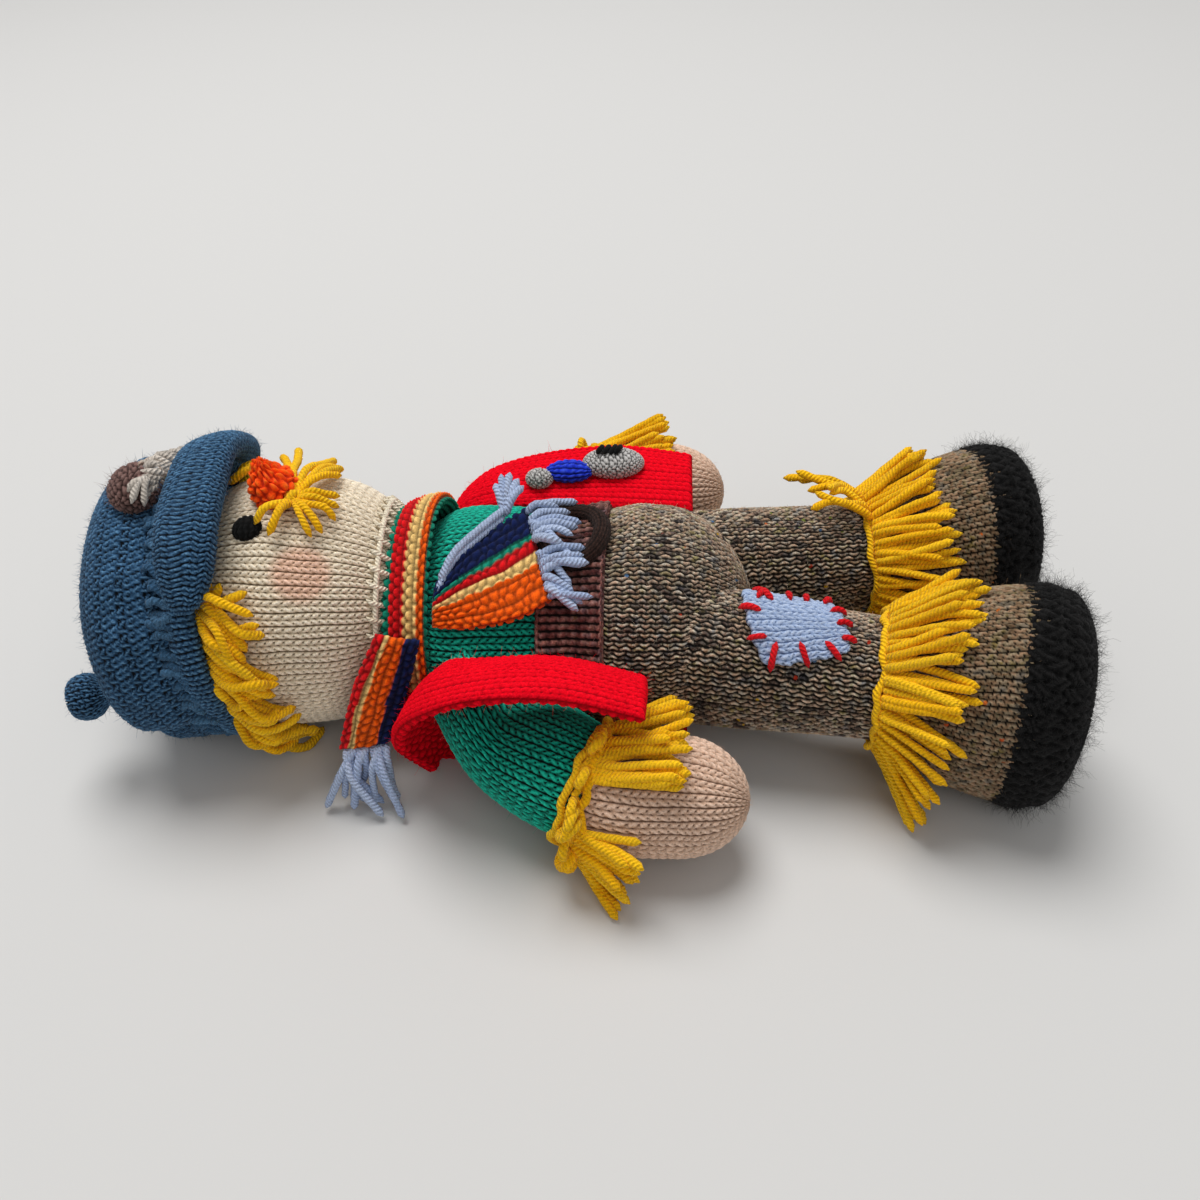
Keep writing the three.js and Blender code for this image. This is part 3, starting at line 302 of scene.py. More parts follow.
def feed(tree, node, inputs):
    """Sets a node's inputs: each is a value, a socket, or a node whose first output feeds it."""
    for key, value in inputs.items():
        if isinstance(value, bpy.types.Node):
            value = next(socket for socket in value.outputs if socket.enabled)
        if isinstance(value, bpy.types.NodeSocket):
            tree.links.new(value, node.inputs[key])
        else:
            node.inputs[key].default_value = value


def add(tree, kind, inputs=None, **settings):
    """Adds a shader node with its settings and inputs."""
    made = tree.nodes.new("ShaderNode" + kind)
    for key, value in settings.items():
        setattr(made, key, value)
    feed(tree, made, inputs or {})
    return made


def paint(ramp, stops):
    """Sets a colour ramp's stops; a colour is a hex code or linear RGBA."""
    band = ramp.color_ramp
    while len(band.elements) < len(stops):
        band.elements.new(0.5)
    for mark, (where, colour) in zip(band.elements, stops):
        mark.position = where
        mark.color = linear(colour) if isinstance(colour, str) else colour


MULTIPLIED = {"data_type": "RGBA", "blend_type": "MULTIPLY"}
WOOL_ROUGHNESS, WOOL_GLOSS, SHEEN_ROUGHNESS = 0.95, 0.05, 0.6
# Dyes that drift along a tweed yarn
DYES = [(0.3, "#d3d0a2"), (0.41, "#f6f6f6"), (0.5, "#f0d6ca"), (0.59, "#f6f6f6"), (0.7, "#b9c2d6")]


def yarn_material(name, slot, painted_shade_body_highlight=None, heather=0.1, fibre=0.5, sheen=0.06, grainy=0.22, deep=0.12,
                  twist=False, blush=None, tweed=None):
    """Wool with the slot of its pieces: painted shade between the stitches, a painted highlight on top of
    the yarn, each stitch its own tone, with a fibre grain. Without its own three colours of painted shade,
    body and painted highlight, grey levels of painted shade and highlight darken and lighten the tweed's
    colour or the piece's own."""
    material = bpy.data.materials.new(name)
    material.use_nodes = True
    tree = material.node_tree
    place = add(tree, "TexCoord").outputs["Object"]
    relief, tone = (add(tree, "Attribute", attribute_name=n).outputs["Fac"] for n in ("relief", "tone"))
    # Painted shade in the gaps between the yarns, where the relief is low, up to the level deep, and a
    # painted highlight where it is high, on top of the yarn
    colour = add(tree, "ValToRGB", {"Fac": relief})
    gap_shade_level = 0.035 if tweed else 0.2
    levels = painted_shade_body_highlight or [(level, level, level, 1) for level in (gap_shade_level, 0.75, 1.2)]
    paint(colour, list(zip((deep, 0.4 + deep, 1.0), levels)))
    # Mottle of the dyed wool, in patches of about 5 mm
    mottle = add(tree, "TexNoise", {"Vector": place, "Scale": 1 / (5 * MM), "Detail": 4.0})
    mixed = add(tree, "Math", {0: mottle, 1: tone}, operation="ADD")
    change = add(tree, "MapRange", {"Value": mixed, "From Min": 0.5, "From Max": 1.5,
                                    "To Min": 1 - heather, "To Max": 1 + heather})
    if tweed:
        # Tweed: the marled yarn changes colour from stitch to stitch, with rare bright specks
        tones, specks = tweed
        speckle = add(tree, "TexNoise", {"Vector": place, "Scale": 1 / (1.6 * MM), "Detail": 3.0,
                                         "Roughness": 0.7})
        blend = add(tree, "Mix", {"Factor": 0.45, "A": tone, "B": speckle})
        marl = add(tree, "ValToRGB", {"Fac": blend})
        paint(marl, tones)
        # The dyes change in stretches of about 4 mm
        drift = add(tree, "TexNoise", {"Vector": place, "Scale": 1 / (4 * MM), "Detail": 2.0})
        dye = add(tree, "ValToRGB", {"Fac": drift})
        paint(dye, DYES)
        dyed = add(tree, "Mix", {"Factor": 1.0, "A": marl, "B": dye}, **MULTIPLIED)
        yarn = add(tree, "Mix", {"Factor": 1.0, "A": dyed, "B": colour}, **MULTIPLIED)
        cells = add(tree, "TexVoronoi", {"Vector": place, "Scale": 1 / (2.0 * MM)})
        pick = add(tree, "SeparateColor", {"Color": cells.outputs["Color"]})
        rare = add(tree, "Math", {0: pick.outputs["Red"], 1: 0.98}, operation="GREATER_THAN")
        kind = add(tree, "ValToRGB", {"Fac": pick.outputs["Green"]})
        kind.color_ramp.interpolation = "CONSTANT"
        paint(kind, [(k / len(specks), code) for k, code in enumerate(specks)])
        tight = add(tree, "MapRange", {"Value": cells.outputs["Distance"], "From Min": 0.45,
                                       "From Max": 0.3})
        speck = add(tree, "Math", {0: rare, 1: tight}, operation="MULTIPLY")
        colour = add(tree, "Mix", {"Factor": speck, "A": yarn, "B": kind}, data_type="RGBA")
    elif not painted_shade_body_highlight:
        own = add(tree, "Attribute", attribute_name="colour").outputs["Color"]
        colour = add(tree, "Mix", {"Factor": 1.0, "A": own, "B": colour}, **MULTIPLIED)
    # Fibre grain of about 0.6 mm, in shade and in height
    grain = add(tree, "TexNoise", {"Vector": place, "Scale": 1 / (0.6 * MM), "Detail": 3.0})
    woolly = add(tree, "MapRange", {"Value": grain, "From Min": 0.3, "From Max": 0.7,
                                    "To Min": 1 - grainy, "To Max": 1 + grainy})
    light = add(tree, "Math", {0: change, 1: woolly}, operation="MULTIPLY")
    bump = add(tree, "Bump", {"Strength": fibre, "Distance": 0.4 * MM, "Height": grain})
    if twist:
        # Plies of the twisted yarn: the UV map counts them round the yarn and along it, and painted shade
        # darkens the grooves between them
        plies = add(tree, "SeparateXYZ", {"Vector": add(tree, "UVMap")})
        turned = add(tree, "Math", {0: plies.outputs["X"], 1: plies.outputs["Y"]}, operation="ADD")
        phase = add(tree, "Math", {0: turned, 1: TAU}, operation="MULTIPLY")
        ridge = add(tree, "Math", {0: phase}, operation="SINE")
        painted_groove_shade = add(tree, "MapRange", {"Value": ridge, "From Min": -1.0, "From Max": 0.2,
                                        "To Min": 0.82, "To Max": 1.06})
        light = add(tree, "Math", {0: light, 1: painted_groove_shade}, operation="MULTIPLY")
        bump = add(tree, "Bump", {"Strength": 0.5, "Distance": 0.6 * MM, "Height": ridge, "Normal": bump})
    colour = add(tree, "VectorMath", {0: colour, 1: light}, operation="MULTIPLY")
    if blush:
        middle, size, pink = blush
        far = add(tree, "VectorMath", {0: place, 1: tuple(c * MM for c in middle)}, operation="DISTANCE")
        near = add(tree, "MapRange", {"Value": far, "From Min": size * MM, "From Max": 0.55 * size * MM,
                                      "To Min": 0.0, "To Max": 0.42}, interpolation_type="SMOOTHSTEP")
        colour = add(tree, "Mix", {"Factor": near, "A": colour, "B": linear(pink)}, **MULTIPLIED)
    feed(tree, tree.nodes["Principled BSDF"], {
        "Base Color": colour, "Normal": bump, "Roughness": WOOL_ROUGHNESS, "Specular IOR Level": WOOL_GLOSS,
        "Sheen Weight": sheen, "Sheen Roughness": SHEEN_ROUGHNESS})
    return material, slot


TWEED_TONES = [(0.2, "#282320"), (0.33, "#776c64"), (0.43, "#c6b8a4"), (0.51, "#e2d4be"), (0.59, "#96876c"),
               (0.68, "#c2b09c"), (0.78, "#585054"), (0.9, "#ac9a8a")]
TWEED_SPECKS = ["#a3301c", "#c79a1e", "#4a6a8c", "#6d7a2c", "#c8622c"]
BOOT_TONES = [(0.2, "#453b2e"), (0.4, "#8d7c62"), (0.55, "#a8947a"), (0.7, "#6f6049"), (0.85, "#9a8668")]
BOOT_SPECKS = ["#d06a2c", "#c2562a", "#5d4630", "#b9682f", "#8a4a28"]
LEAF_TONES = [(0.25, "#5b524c"), (0.45, "#a0968c"), (0.6, "#c9c1b6"), (0.8, "#7c716a")]
BELT_TONES = [(0.25, "#4e2a2b"), (0.42, "#835451"), (0.55, "#a47a72"), (0.7, "#6a403f"), (0.85, "#92645f")]
BELT_SPECKS = ["#664543", "#86645e"]
# Each wool's three colours: painted shade in the gaps between the yarns, the wool's own colour, and a
# painted highlight on top of the yarn
# Face: pale yarn with brown painted shade in the gaps, so that each V shows, and a rouged cheek
cream_wool = yarn_material("cream_wool", "cream_knit", ("#54422d", "#e2d0b3", "#fbf0db"), heather=0.06,
                           deep=0.14, blush=((-95.3, -30.8, 83.6), 12.5, "#f09a88"))
# Yarn that draws the neck in: pale plies
cream_yarn = yarn_material("cream_sewing_yarn", "cream_knit", ("#9c8e74", "#dccfb4", "#f2e8d2"),
                           heather=0.06, twist=True)
# Hat: rough heathered blue with almost black painted shade in the gaps
blue_wool = yarn_material("steel_blue_wool", "steel_blue_knit", ("#060d15", "#2e5172", "#5a82a2"),
                          heather=0.2, grainy=0.5, fibre=0.9, deep=0.24)
# Seam of the hat: the same blue in plies
blue_yarn = yarn_material("steel_blue_yarn", "steel_blue_knit", ("#12202e", "#2b4d6c", "#4f7696"),
                          heather=0.16, grainy=0.4, twist=True)
# Jumper: bright sea green with dark painted shade in the gaps
green_wool = yarn_material("green_wool", "green_knit", ("#01130f", "#0f9a82", "#22c5a6"), heather=0.14,
                           grainy=0.3, deep=0.28)
# Waistcoat: even, bright red whose painted shade in the gaps stays red
red_wool = yarn_material("red_wool", "red_knit", ("#9a0411", "#e2051a", "#f60d24"), heather=0.07, sheen=0.0,
                         deep=0.1)
# Stitches of the patch: red plies
red_yarn = yarn_material("red_sewing_yarn", "red_knit", ("#8a0409", "#d20d18", "#e81a24"), heather=0.06,
                         twist=True)
# Hands: matt pink beige
pink_wool = yarn_material("pink_beige_wool", "pink_knit", ("#5c4133", "#d3af96", "#f0d1bb"), heather=0.06)
# Nose: strong orange with warm red painted shade in the gaps
orange_wool = yarn_material("orange_wool", "orange_knit", ("#b52405", "#ff4a0a", "#ff6c1c"), heather=0.08,
                            deep=0.06)
# Straw and hair: warm yellow plies
straw_wool = yarn_material("straw_yellow_yarn", "straw_yarn", ("#d89004", "#fbb906", "#ffcd20"), fibre=0.8,
                           twist=True)
# Trousers: grey and beige marl with coloured specks
tweed_wool = yarn_material("grey_tweed_wool", "tweed_knit", tweed=(TWEED_TONES, TWEED_SPECKS), deep=0.25,
                           grainy=0.35)
# Boots: tan marl with rust specks
boot_wool = yarn_material("tan_tweed_wool", "tan_tweed_knit", tweed=(BOOT_TONES, BOOT_SPECKS), deep=0.14)
# Leaf on the hat: pale grey beige marl, and plies of the same tone
beige_wool = yarn_material("beige_tweed_yarn", "grey_knit", tweed=(LEAF_TONES, TWEED_SPECKS))
leaf_yarn = yarn_material("pale_grey_tweed_yarn", "grey_knit", ("#7d746b", "#b9aea2", "#d8cfc4"),
                          heather=0.25, twist=True)
# Belt: dull mauve brown that changes from ridge to ridge
mauve_wool = yarn_material("mauve_brown_wool", "brown_knit", heather=0.15, tweed=(BELT_TONES, BELT_SPECKS),
                           deep=0.25)
# Pad on the hat: uneven brown
brown_wool = yarn_material("brown_tweed_wool", "brown_knit", ("#241815", "#6b504b", "#8f736b"),
                           heather=0.25)
# Buckle: nearly black, felted and hairy
dark_wool = yarn_material("dark_brown_felted_wool", "dark_brown_yarn", ("#120a08", "#2d1d18", "#412c25"),
                          heather=0.2, fibre=1.0)
# Eyes and mouse's nose: flat black
black_wool = yarn_material("black_yarn", "black_yarn", ("#020202", "#0a0a0a", "#181818"), heather=0.2)
# Soles: black clumps with a grey painted highlight on their tops
mohair = yarn_material("black_mohair", "black_yarn", ("#010101", "#0a0a0a", "#232222"), heather=0.3,
                       fibre=1.0)
# Tassels: pale blue plies
sky_yarn = yarn_material("pale_blue_yarn", "pale_blue_yarn", ("#6b7aa2", "#9aacd0", "#bccae4"),
                         heather=0.08, fibre=0.8, twist=True)
# Knee patch: smooth pale blue
patch_wool = yarn_material("patch_blue_wool", "patch_blue_knit", ("#43557b", "#98abcc", "#bac9e2"),
                           heather=0.06)
# Mouse: light grey with dark painted shade in the gaps, and the blue that its body is wound with
grey_wool = yarn_material("grey_wool", "grey_knit", ("#3c3a39", "#b3b0ad", "#d6d3d0"), heather=0.12)
royal_yarn = yarn_material("royal_blue_yarn", "bright_blue_yarn", ("#05103f", "#1830c0", "#3a55dc"),
                           heather=0.08)
# Scarf: each row in the colour of its stripe
scarf_wool = yarn_material("striped_scarf_wool", "orange_knit", heather=0.08, deep=0.06)


# Making pieces

# Wool and body of every finished piece, for its loose fibres
worn = {}


def take_over(piece, wool, body, nodes=(), fill=None):
    """Gives a finished piece its wool, its body and the solids that it stands for."""
    material, slot = wool
    piece.data.materials.clear()
    piece.data.materials.append(material)
    worn[piece.name] = wool, body
    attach(piece, body)
    if nodes:
        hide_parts(*nodes)
    return piece


def vertex_values(mesh, name):
    """Three numbers of every vertex, such as its place or the direction out of it."""
    values = np.empty(len(mesh.vertices) * 3, np.float32)
    mesh.vertices.foreach_get(name, values)
    return values.reshape(-1, 3)


def set_attribute(mesh, name, values, kind="FLOAT"):
    field = mesh.attributes.new(name, kind, "POINT")
    key = "color" if kind == "FLOAT_COLOR" else "value"
    field.data.foreach_set(key, np.ascontiguousarray(values, np.float32).ravel())


def grid(name, across, along):
    """A flat panel of that many faces, with its vertices' shares across and along it."""
    bpy.ops.object.select_all(action="DESELECT")
    bpy.ops.mesh.primitive_grid_add(x_subdivisions=across, y_subdivisions=along, size=2)
    piece = bpy.context.object
    piece.name = piece.data.name = name
    u, v, _ = (vertex_values(piece.data, "co").astype(float).T + 1) / 2
    return piece, u, v


def close_seams(piece):
    """Joins a wrapped panel at its seams and poles into one closed skin."""
    bpy.ops.object.select_all(action="DESELECT")
    piece.select_set(True)
    bpy.context.view_layer.objects.active = piece
    bpy.ops.object.mode_set(mode="EDIT")
    bpy.ops.mesh.select_all(action="SELECT")
    bpy.ops.mesh.remove_doubles(threshold=2e-6)
    bpy.ops.mesh.delete_loose()
    bpy.ops.mesh.select_all(action="SELECT")
    bpy.ops.mesh.fill_holes(sides=0)
    bpy.ops.mesh.select_all(action="SELECT")
    bpy.ops.mesh.normals_make_consistent(inside=False)
    bpy.ops.object.mode_set(mode="OBJECT")
    bpy.ops.object.shade_smooth()
    # A thin closed strip can come out inside out: its volume is then below nothing
    mesh = piece.data
    mesh.calc_loop_triangles()
    corners = np.empty(len(mesh.loop_triangles) * 3, np.int32)
    mesh.loop_triangles.foreach_get("vertices", corners)
    a, b, c = np.moveaxis(vertex_values(mesh, "co")[corners].astype(float).reshape(-1, 3, 3), 1, 0)
    if (a * np.cross(b, c)).sum() < 0:
        mesh.flip_normals()


# Height of the yarn that lies on the surface itself, and how near in mm seams and poles must meet to close
LEVEL, SEAM, POLE = 0.75, 0.02, 0.05
# Lowest places over the floor, in mm: of any yarn's surface and of the middle of a thick yarn
LOWEST, YARN_LOW = 0.1, 1.6
SHADE_TABLE = 97, 89


def knit(name, surface, columns, rows, stitch, relief=1.0, fine=(6, 5), colours=None, shrink=None,
         even=False):
    """Knits a flat panel of stitches, raises its yarn and wraps it over a surface."""
    piece, u, v = grid(name, columns * fine[0], rows * fine[1])
    e, f = 0.3 / (columns * fine[0]), 0.3 / (rows * fine[1])
    # Hand knitting: columns and rows wander a little, and no two stitches have the same height or shade
    wander = 0 if even else step(v, 0, 0.06) * step(v, 1, 0.94)
    sway = 0.06 * np.sin(TAU * 5 * u + 9 * v) + 0.03 * np.sin(TAU * 11 * u - 23 * v)
    side = u - wander / columns * sway
    sway = 0.14 * np.sin(TAU * 7 * u + 13 * v) + 0.1 * np.sin(TAU * 3 * u - 29 * v)
    run = v - wander / rows * sway
    inner = np.clip(run, 2 * f, 1 - 2 * f)
    p = surface(side, run)
    across = surface(side + e, inner) - surface(side - e, inner)
    along = surface(side, inner + f) - surface(side, inner - f)
    facing = np.cross(across, along)
    turned = ((p - p.mean(0)) * facing).sum() < 0
    normal = unit(facing) * (-1 if turned else 1)
    high, column, row = stitch(u * columns, v * rows)
    table = random.uniform(size=SHADE_TABLE)
    wide, tall = SHADE_TABLE
    column, row = column.astype(int), row.astype(int)
    own = table[column % wide, row % tall]
    tone = 0.5 * own + 0.5 * table[column // 3 % wide, (row * 7 + 5) % tall]
    amount = relief * (0.82 + 0.3 * own) if shrink is None else relief * shrink(u, v)
    raised = (p + normal * ((high - LEVEL) * amount)[:, None]).reshape(rows * fine[1] + 1, -1, 3)
    # Seams and poles meet exactly, so that they close
    bare = p.reshape(raised.shape)
    if np.abs(bare[:, 0] - bare[:, -1]).max() < SEAM:
        raised[:, -1] = raised[:, 0]
    if np.abs(bare[0] - bare[-1]).max() < SEAM:
        raised[-1] = raised[0]
    for end in (0, -1):
        if np.ptp(bare[end], axis=0).max() < POLE:
            raised[end] = raised[end].mean(0)
    p = above(raised.reshape(-1, 3), LOWEST)
    mesh = piece.data
    mesh.vertices.foreach_set("co", (p * MM).astype(np.float32).ravel())
    corner = np.empty(len(mesh.loops), np.int32)
    mesh.loops.foreach_get("vertex_index", corner)
    uv = np.stack([u * columns, v * rows], -1)[corner]
    mesh.uv_layers.active.data.foreach_set("uv", uv.astype(np.float32).ravel())
    set_attribute(mesh, "relief", high)
    set_attribute(mesh, "tone", tone)
    if colours is not None:
        set_attribute(mesh, "colour", colours(u, v), "FLOAT_COLOR")
    mesh.update()
    if turned:
        mesh.flip_normals()
    close_seams(piece)
    return piece


def counts(surface, column, row):
    """How many stitches of a width and a height go round a surface and along it."""
    return max(6, round(surface.round / column)), max(4, round(surface.long / row))


# Knits: a stitch, its width and height in mm, how far its yarn stands out, and its faces across and along
JUMPER_KNIT = stocking_stitch, (4.9, 3.0), 1.1, (8, 5)
HAND_KNIT = stocking_stitch, (5.1, 3.0), 1.2, (8, 5)
FACE_KNIT = stocking_stitch, (4.7, 3.0), 1.2, (8, 5)
BOOT_KNIT = stocking_stitch, (4.2, 2.8), 1.0, (6, 5)
RIM_KNIT = stocking_stitch, (4.2, 2.8), 1.0, (6, 4)
CROWN_KNIT = slanted(stocking_stitch, 0.28), (4.4, 2.8), 1.1, (6, 5)
LEAF_KNIT = stocking_stitch, (6.0, 4.6), 2.0, (8, 7)
TROUSER_KNIT = tweed_stitch, (3.3, 4.2), 1.3, (7, 5)
SOLE_KNIT = boucle, (5.5, 5.5), 1.8, (7, 7)
PAD_KNIT = purl_stitch, (3.4, 3.0), 1.3, (5, 5)
EYE_KNIT = rib_stitch, (1.8, 1.8), 0.5, (4, 4)
MOUSE_KNIT = purl_stitch, (2.6, 2.2), 0.8, (6, 5)
BOBBLE_KNIT = purl_stitch, (2.4, 2.2), 0.8, (6, 5)
MOUSE_WINDING = sideways(rib_stitch), (2.4, 2.4), 0.9, (6, 5)
# How full of stuffing a piece is
FIRM, STUFFED, PUFFED, LIMP = 0.9, 0.85, 0.8, 0.7


def dress(name, surface, pattern, wool, body, nodes, fill=None):
    """Knits a piece over a surface and dresses solids in it."""
    stitch, size, relief, fine = pattern
    piece = knit(name, surface, *counts(surface, *size), stitch, relief, fine)
    return take_over(piece, wool, body, nodes, fill)


def sides_of(line):
    """Directions beside and over a line, carried along it without twist."""
    along = unit(np.gradient(line, axis=0))
    beside = np.empty_like(along)
    beside[0] = unit(np.cross(along[0], [0.3, 0.2, 0.93]))
    for i in range(1, len(line)):
        beside[i] = unit(beside[i - 1] - along[i] * (beside[i - 1] @ along[i]))
    return beside, np.cross(along, beside)


# Sides of a yarn's tube and length of its faces; plies round a yarn and the length of one twist, in mm
STRAND_SIDES, STRAND_STEP = 8, 1.9
PLIES, PLY_STEP = 3, 1.4


def mesh_piece(name, verts, faces, relief, tone):
    """A piece from its own points, in mm, and faces."""
    mesh = bpy.data.meshes.new(name)
    mesh.from_pydata((verts * MM).tolist(), [], faces)
    piece = bpy.data.objects.new(name, mesh)
    bpy.context.collection.objects.link(piece)
    set_attribute(mesh, "relief", relief)
    set_attribute(mesh, "tone", tone)
    mesh.polygons.foreach_set("use_smooth", [True] * len(mesh.polygons))
    mesh.update()
    return piece


def strands(name, paths, thickness):
    """Twisted yarns along paths, as one piece; the UV map counts the plies round and along each yarn."""
    verts, faces, relief, tones, laid = [], [], [], [], []
    n = STRAND_SIDES
    angle = np.arange(n) * TAU / n
    around = np.arange(n)[None]
    base = 0
    for path in paths:
        line = smooth_line(path, 120)
        total = lengths(line)[-1]
        count = max(5, int(total / STRAND_STEP))
        s = np.linspace(0, total, count + 1)
        line = at_length(line, s)
        beside, over = sides_of(line)
        thick = thickness / 2 * random.uniform(0.88, 1.1)
        ends = np.clip(np.minimum(s, total - s) / (0.6 * thick), 0, 1)
        r = thick * np.sqrt(np.clip(1 - (1 - ends) ** 2, 0.04, 1)) * (1 + 0.06 * np.sin(s * 1.1 + base))
        ring = line[:, None] + beside[:, None] * (r[:, None] * np.cos(angle))[..., None]
        ring = ring + over[:, None] * (r[:, None] * np.sin(angle))[..., None]
        ring = above(ring, LOWEST)
        verts.append(ring.reshape(-1, 3))
        # Each yarn takes one level of its wool's ramp, between its own colour and the painted highlight, a
        # little different from yarn to yarn
        relief.append(np.full(len(line) * n, LEVEL) + random.uniform(-0.15, 0.15))
        tones.append(np.full(len(line) * n, random.uniform()))
        i = np.arange(count)[:, None]
        first, second = base + i * n + around, base + i * n + (around + 1) % n
        faces += np.stack([first, second, second + n, first + n], -1).reshape(-1, 4).tolist()
        low, high = s[:-1, None] / PLY_STEP + 0 * around, s[1:, None] / PLY_STEP + 0 * around
        left, right = PLIES * around / n + 0 * i, PLIES * (around + 1) / n + 0 * i
        laid.append(np.stack([left, low, right, low, right, high, left, high], -1).reshape(-1, 2))
        last = base + count * n
        faces += [list(range(base + n - 1, base - 1, -1)), list(range(last, last + n))]
        laid.append(np.zeros((2 * n, 2)))
        base = last + n
    piece = mesh_piece(name, np.vstack(verts), faces, np.concatenate(relief), np.concatenate(tones))
    uv = piece.data.uv_layers.new(name="UVMap")
    uv.data.foreach_set("uv", np.vstack(laid).astype(np.float32).ravel())
    return piece


def lay(name, paths, thickness, wool, body, nodes=()):
    """Lays yarns along paths and dresses solids in them."""
    return take_over(strands(name, paths, thickness), wool, body, nodes)


FIBRE_THICK, SHORT_FIBRE = 0.12, 2.7


def fuzz(name, roots, normals, long, lean, curl, rings):
    """Loose fibres that stand out of the yarn."""
    n = len(roots)
    wild = unit(normals + lean * random.normal(size=(n, 3)))
    wild = np.where((wild * normals).sum(1, keepdims=True) < 0.1, unit(wild + 1.2 * normals), wild)
    bend = curl * unit(random.normal(size=(n, 3)))
    own = long * random.uniform(0.4, 1.0, n)[:, None]
    share = np.linspace(0, 1, rings)
    middle = roots[:, None] + own[:, None] * (wild[:, None] * share[None, :, None]
                                             + bend[:, None] * (share ** 2)[None, :, None] * 0.6)
    curly = unit(np.cross(wild, random.normal(size=(n, 3))))
    middle += 0.16 * curl * own[:, None] * curly[:, None] * np.sin(TAU * share)[None, :, None]
    middle = above(middle, 0.3)
    side = unit(np.cross(wild, random.normal(size=(n, 3))))
    other = np.cross(wild, side)
    width = FIBRE_THICK / 2 * np.linspace(1, 0.35, rings)
    angle = np.arange(3) * TAU / 3
    spread = side[:, None] * np.cos(angle)[None, :, None] + other[:, None] * np.sin(angle)[None, :, None]
    verts = (middle[:, :, None] + spread[:, None] * width[None, :, None, None]).reshape(-1, 3)
    one = np.array([[i * 3 + j, i * 3 + (j + 1) % 3, i * 3 + 3 + (j + 1) % 3, i * 3 + 3 + j]
                    for i in range(rings - 1) for j in range(3)])
    first = np.arange(n)[:, None] * rings * 3
    faces = (first[..., None] + one[None]).reshape(-1, 4).tolist()
    faces += (first + [[2, 1, 0]]).tolist()
    faces += (first + rings * 3 - 3 + [[0, 1, 2]]).tolist()
    # Fibres go from painted shade and the wool's own colour at the root to its painted highlight towards
    # the tip
    high = np.tile(np.repeat(np.linspace(0.5, 0.95, rings), 3), n)
    return mesh_piece(name, verts, faces, high, np.full(len(verts), 0.5))


def halo(name, count, long):
    """A thin halo of loose fibres over a finished piece, of its own wool."""
    mesh = bpy.data.objects[name].data
    pick = random.integers(0, len(mesh.vertices), count)
    roots, normals = (vertex_values(mesh, key)[pick] for key in ("co", "normal"))
    rings = 3 if long > SHORT_FIBRE else 2
    fibres = fuzz(name + "_fuzz", roots / MM, normals, long, lean=1.6, curl=0.8, rings=rings)
    take_over(fibres, *worn[name])


def over_form(form, count, low, high, angles):
    """Random places on a form with the directions out of it."""
    a = random.uniform(low, high, count)
    angle = random.uniform(*angles, count)
    return form.skin(a, angle), form.normal(a, angle)


# Trunk: jumper, trousers and belt

FLOOR = 4.6
TORSO_LENGTH = WAIST_X - NECK_X
for name, form, pattern, wool, node in (
        ("jumper", torso, JUMPER_KNIT, green_wool, "torso_jumper"),
        ("trouser_seat_knit", seat, TROUSER_KNIT, tweed_wool, "trouser_seat")):
    dress(name, form.surface(out=0.2, floor=FLOOR, lumps=0.6), pattern, wool, "torso", [node], STUFFED)

BELT_ROWS, BELT_HALF, BELT_THICK = 20, 11.3, 4.0
BELT_LOOP = smooth_line([(-1, 0.2), (-0.9, 0.85), (-0.5, 1), (0, 1.03), (0.5, 1), (0.9, 0.85), (1, 0.2),
                         (0.9, -0.1), (0, -0.1), (-0.9, -0.1)], 300, closed=True)


def belt_surface(u, v):
    """A band round the waist: outside, turned edge, inside and turned edge again."""
    angle = -math.pi / 2 - TAU * u
    q = at_share(BELT_LOOP, v)
    x = q[:, 0] * BELT_HALF
    r = np.where(x < 0, torso.radius(TORSO_LENGTH + np.minimum(x, 0)), seat.radius(np.maximum(x, 0)))
    out = 0.6 + q[:, 1] * BELT_THICK
    p = np.stack([WAIST_X + x, -(r + out) * np.cos(angle),
                  TRUNK_Z + (r * TRUNK_DEPTH + out) * np.sin(angle)], -1)
    return above(p, FLOOR)


def belt_stitch(x, y):
    """Ridges across the belt, with a chain of stitches along both edges."""
    share = (y / BELT_ROWS) % 1
    return either(np.abs(share - 0.27) > 0.185, stocking_stitch(y * 0.5, x), rib_stitch(y, x))


belt = knit("belt_knit", belt_surface, 96, BELT_ROWS, belt_stitch, 1.3, (4, 3), even=True)
take_over(belt, mauve_wool, "torso", ["belt"])

# Buckle: a fuzzy ring on the belt
buckle_top = torso.skin(TORSO_LENGTH, 88, 5.0)
turns = np.arange(24) * TAU / 24
x, y = 10.0 * np.cos(turns), 14.0 * np.sin(turns)
buckle_line = np.stack([WAIST_X + x, buckle_top[1] + y, buckle_top[2] + 1.8 - 14 * (y / 34) ** 2], -1)
BUCKLE_LOOP = smooth_line(buckle_line, 400, closed=True)
BUCKLE_THICK = 6.4


def buckle_surface(u, v):
    """A closed tube round the buckle's line, whose second share goes round the ring."""
    whole = lengths(BUCKLE_LOOP)[-1]
    s = (v % 1) * whole
    p, after, before = (at_length(BUCKLE_LOOP, at) for at in (s, (s + 0.5) % whole, (s - 0.5) % whole))
    ahead = unit(after - before)
    up = unit(np.cross(ahead, p - BUCKLE_LOOP.mean(0)))
    out = np.cross(up, ahead)
    a = -TAU * u
    return p + out * (BUCKLE_THICK / 2 * np.cos(a))[:, None] + up * (BUCKLE_THICK / 2 * np.sin(a))[:, None]


buckle = knit("buckle_ring", buckle_surface, 8, 32, stocking_stitch, 0.5, (4, 4))
take_over(buckle, dark_wool, "torso", ["belt_buckle"])


# Arms

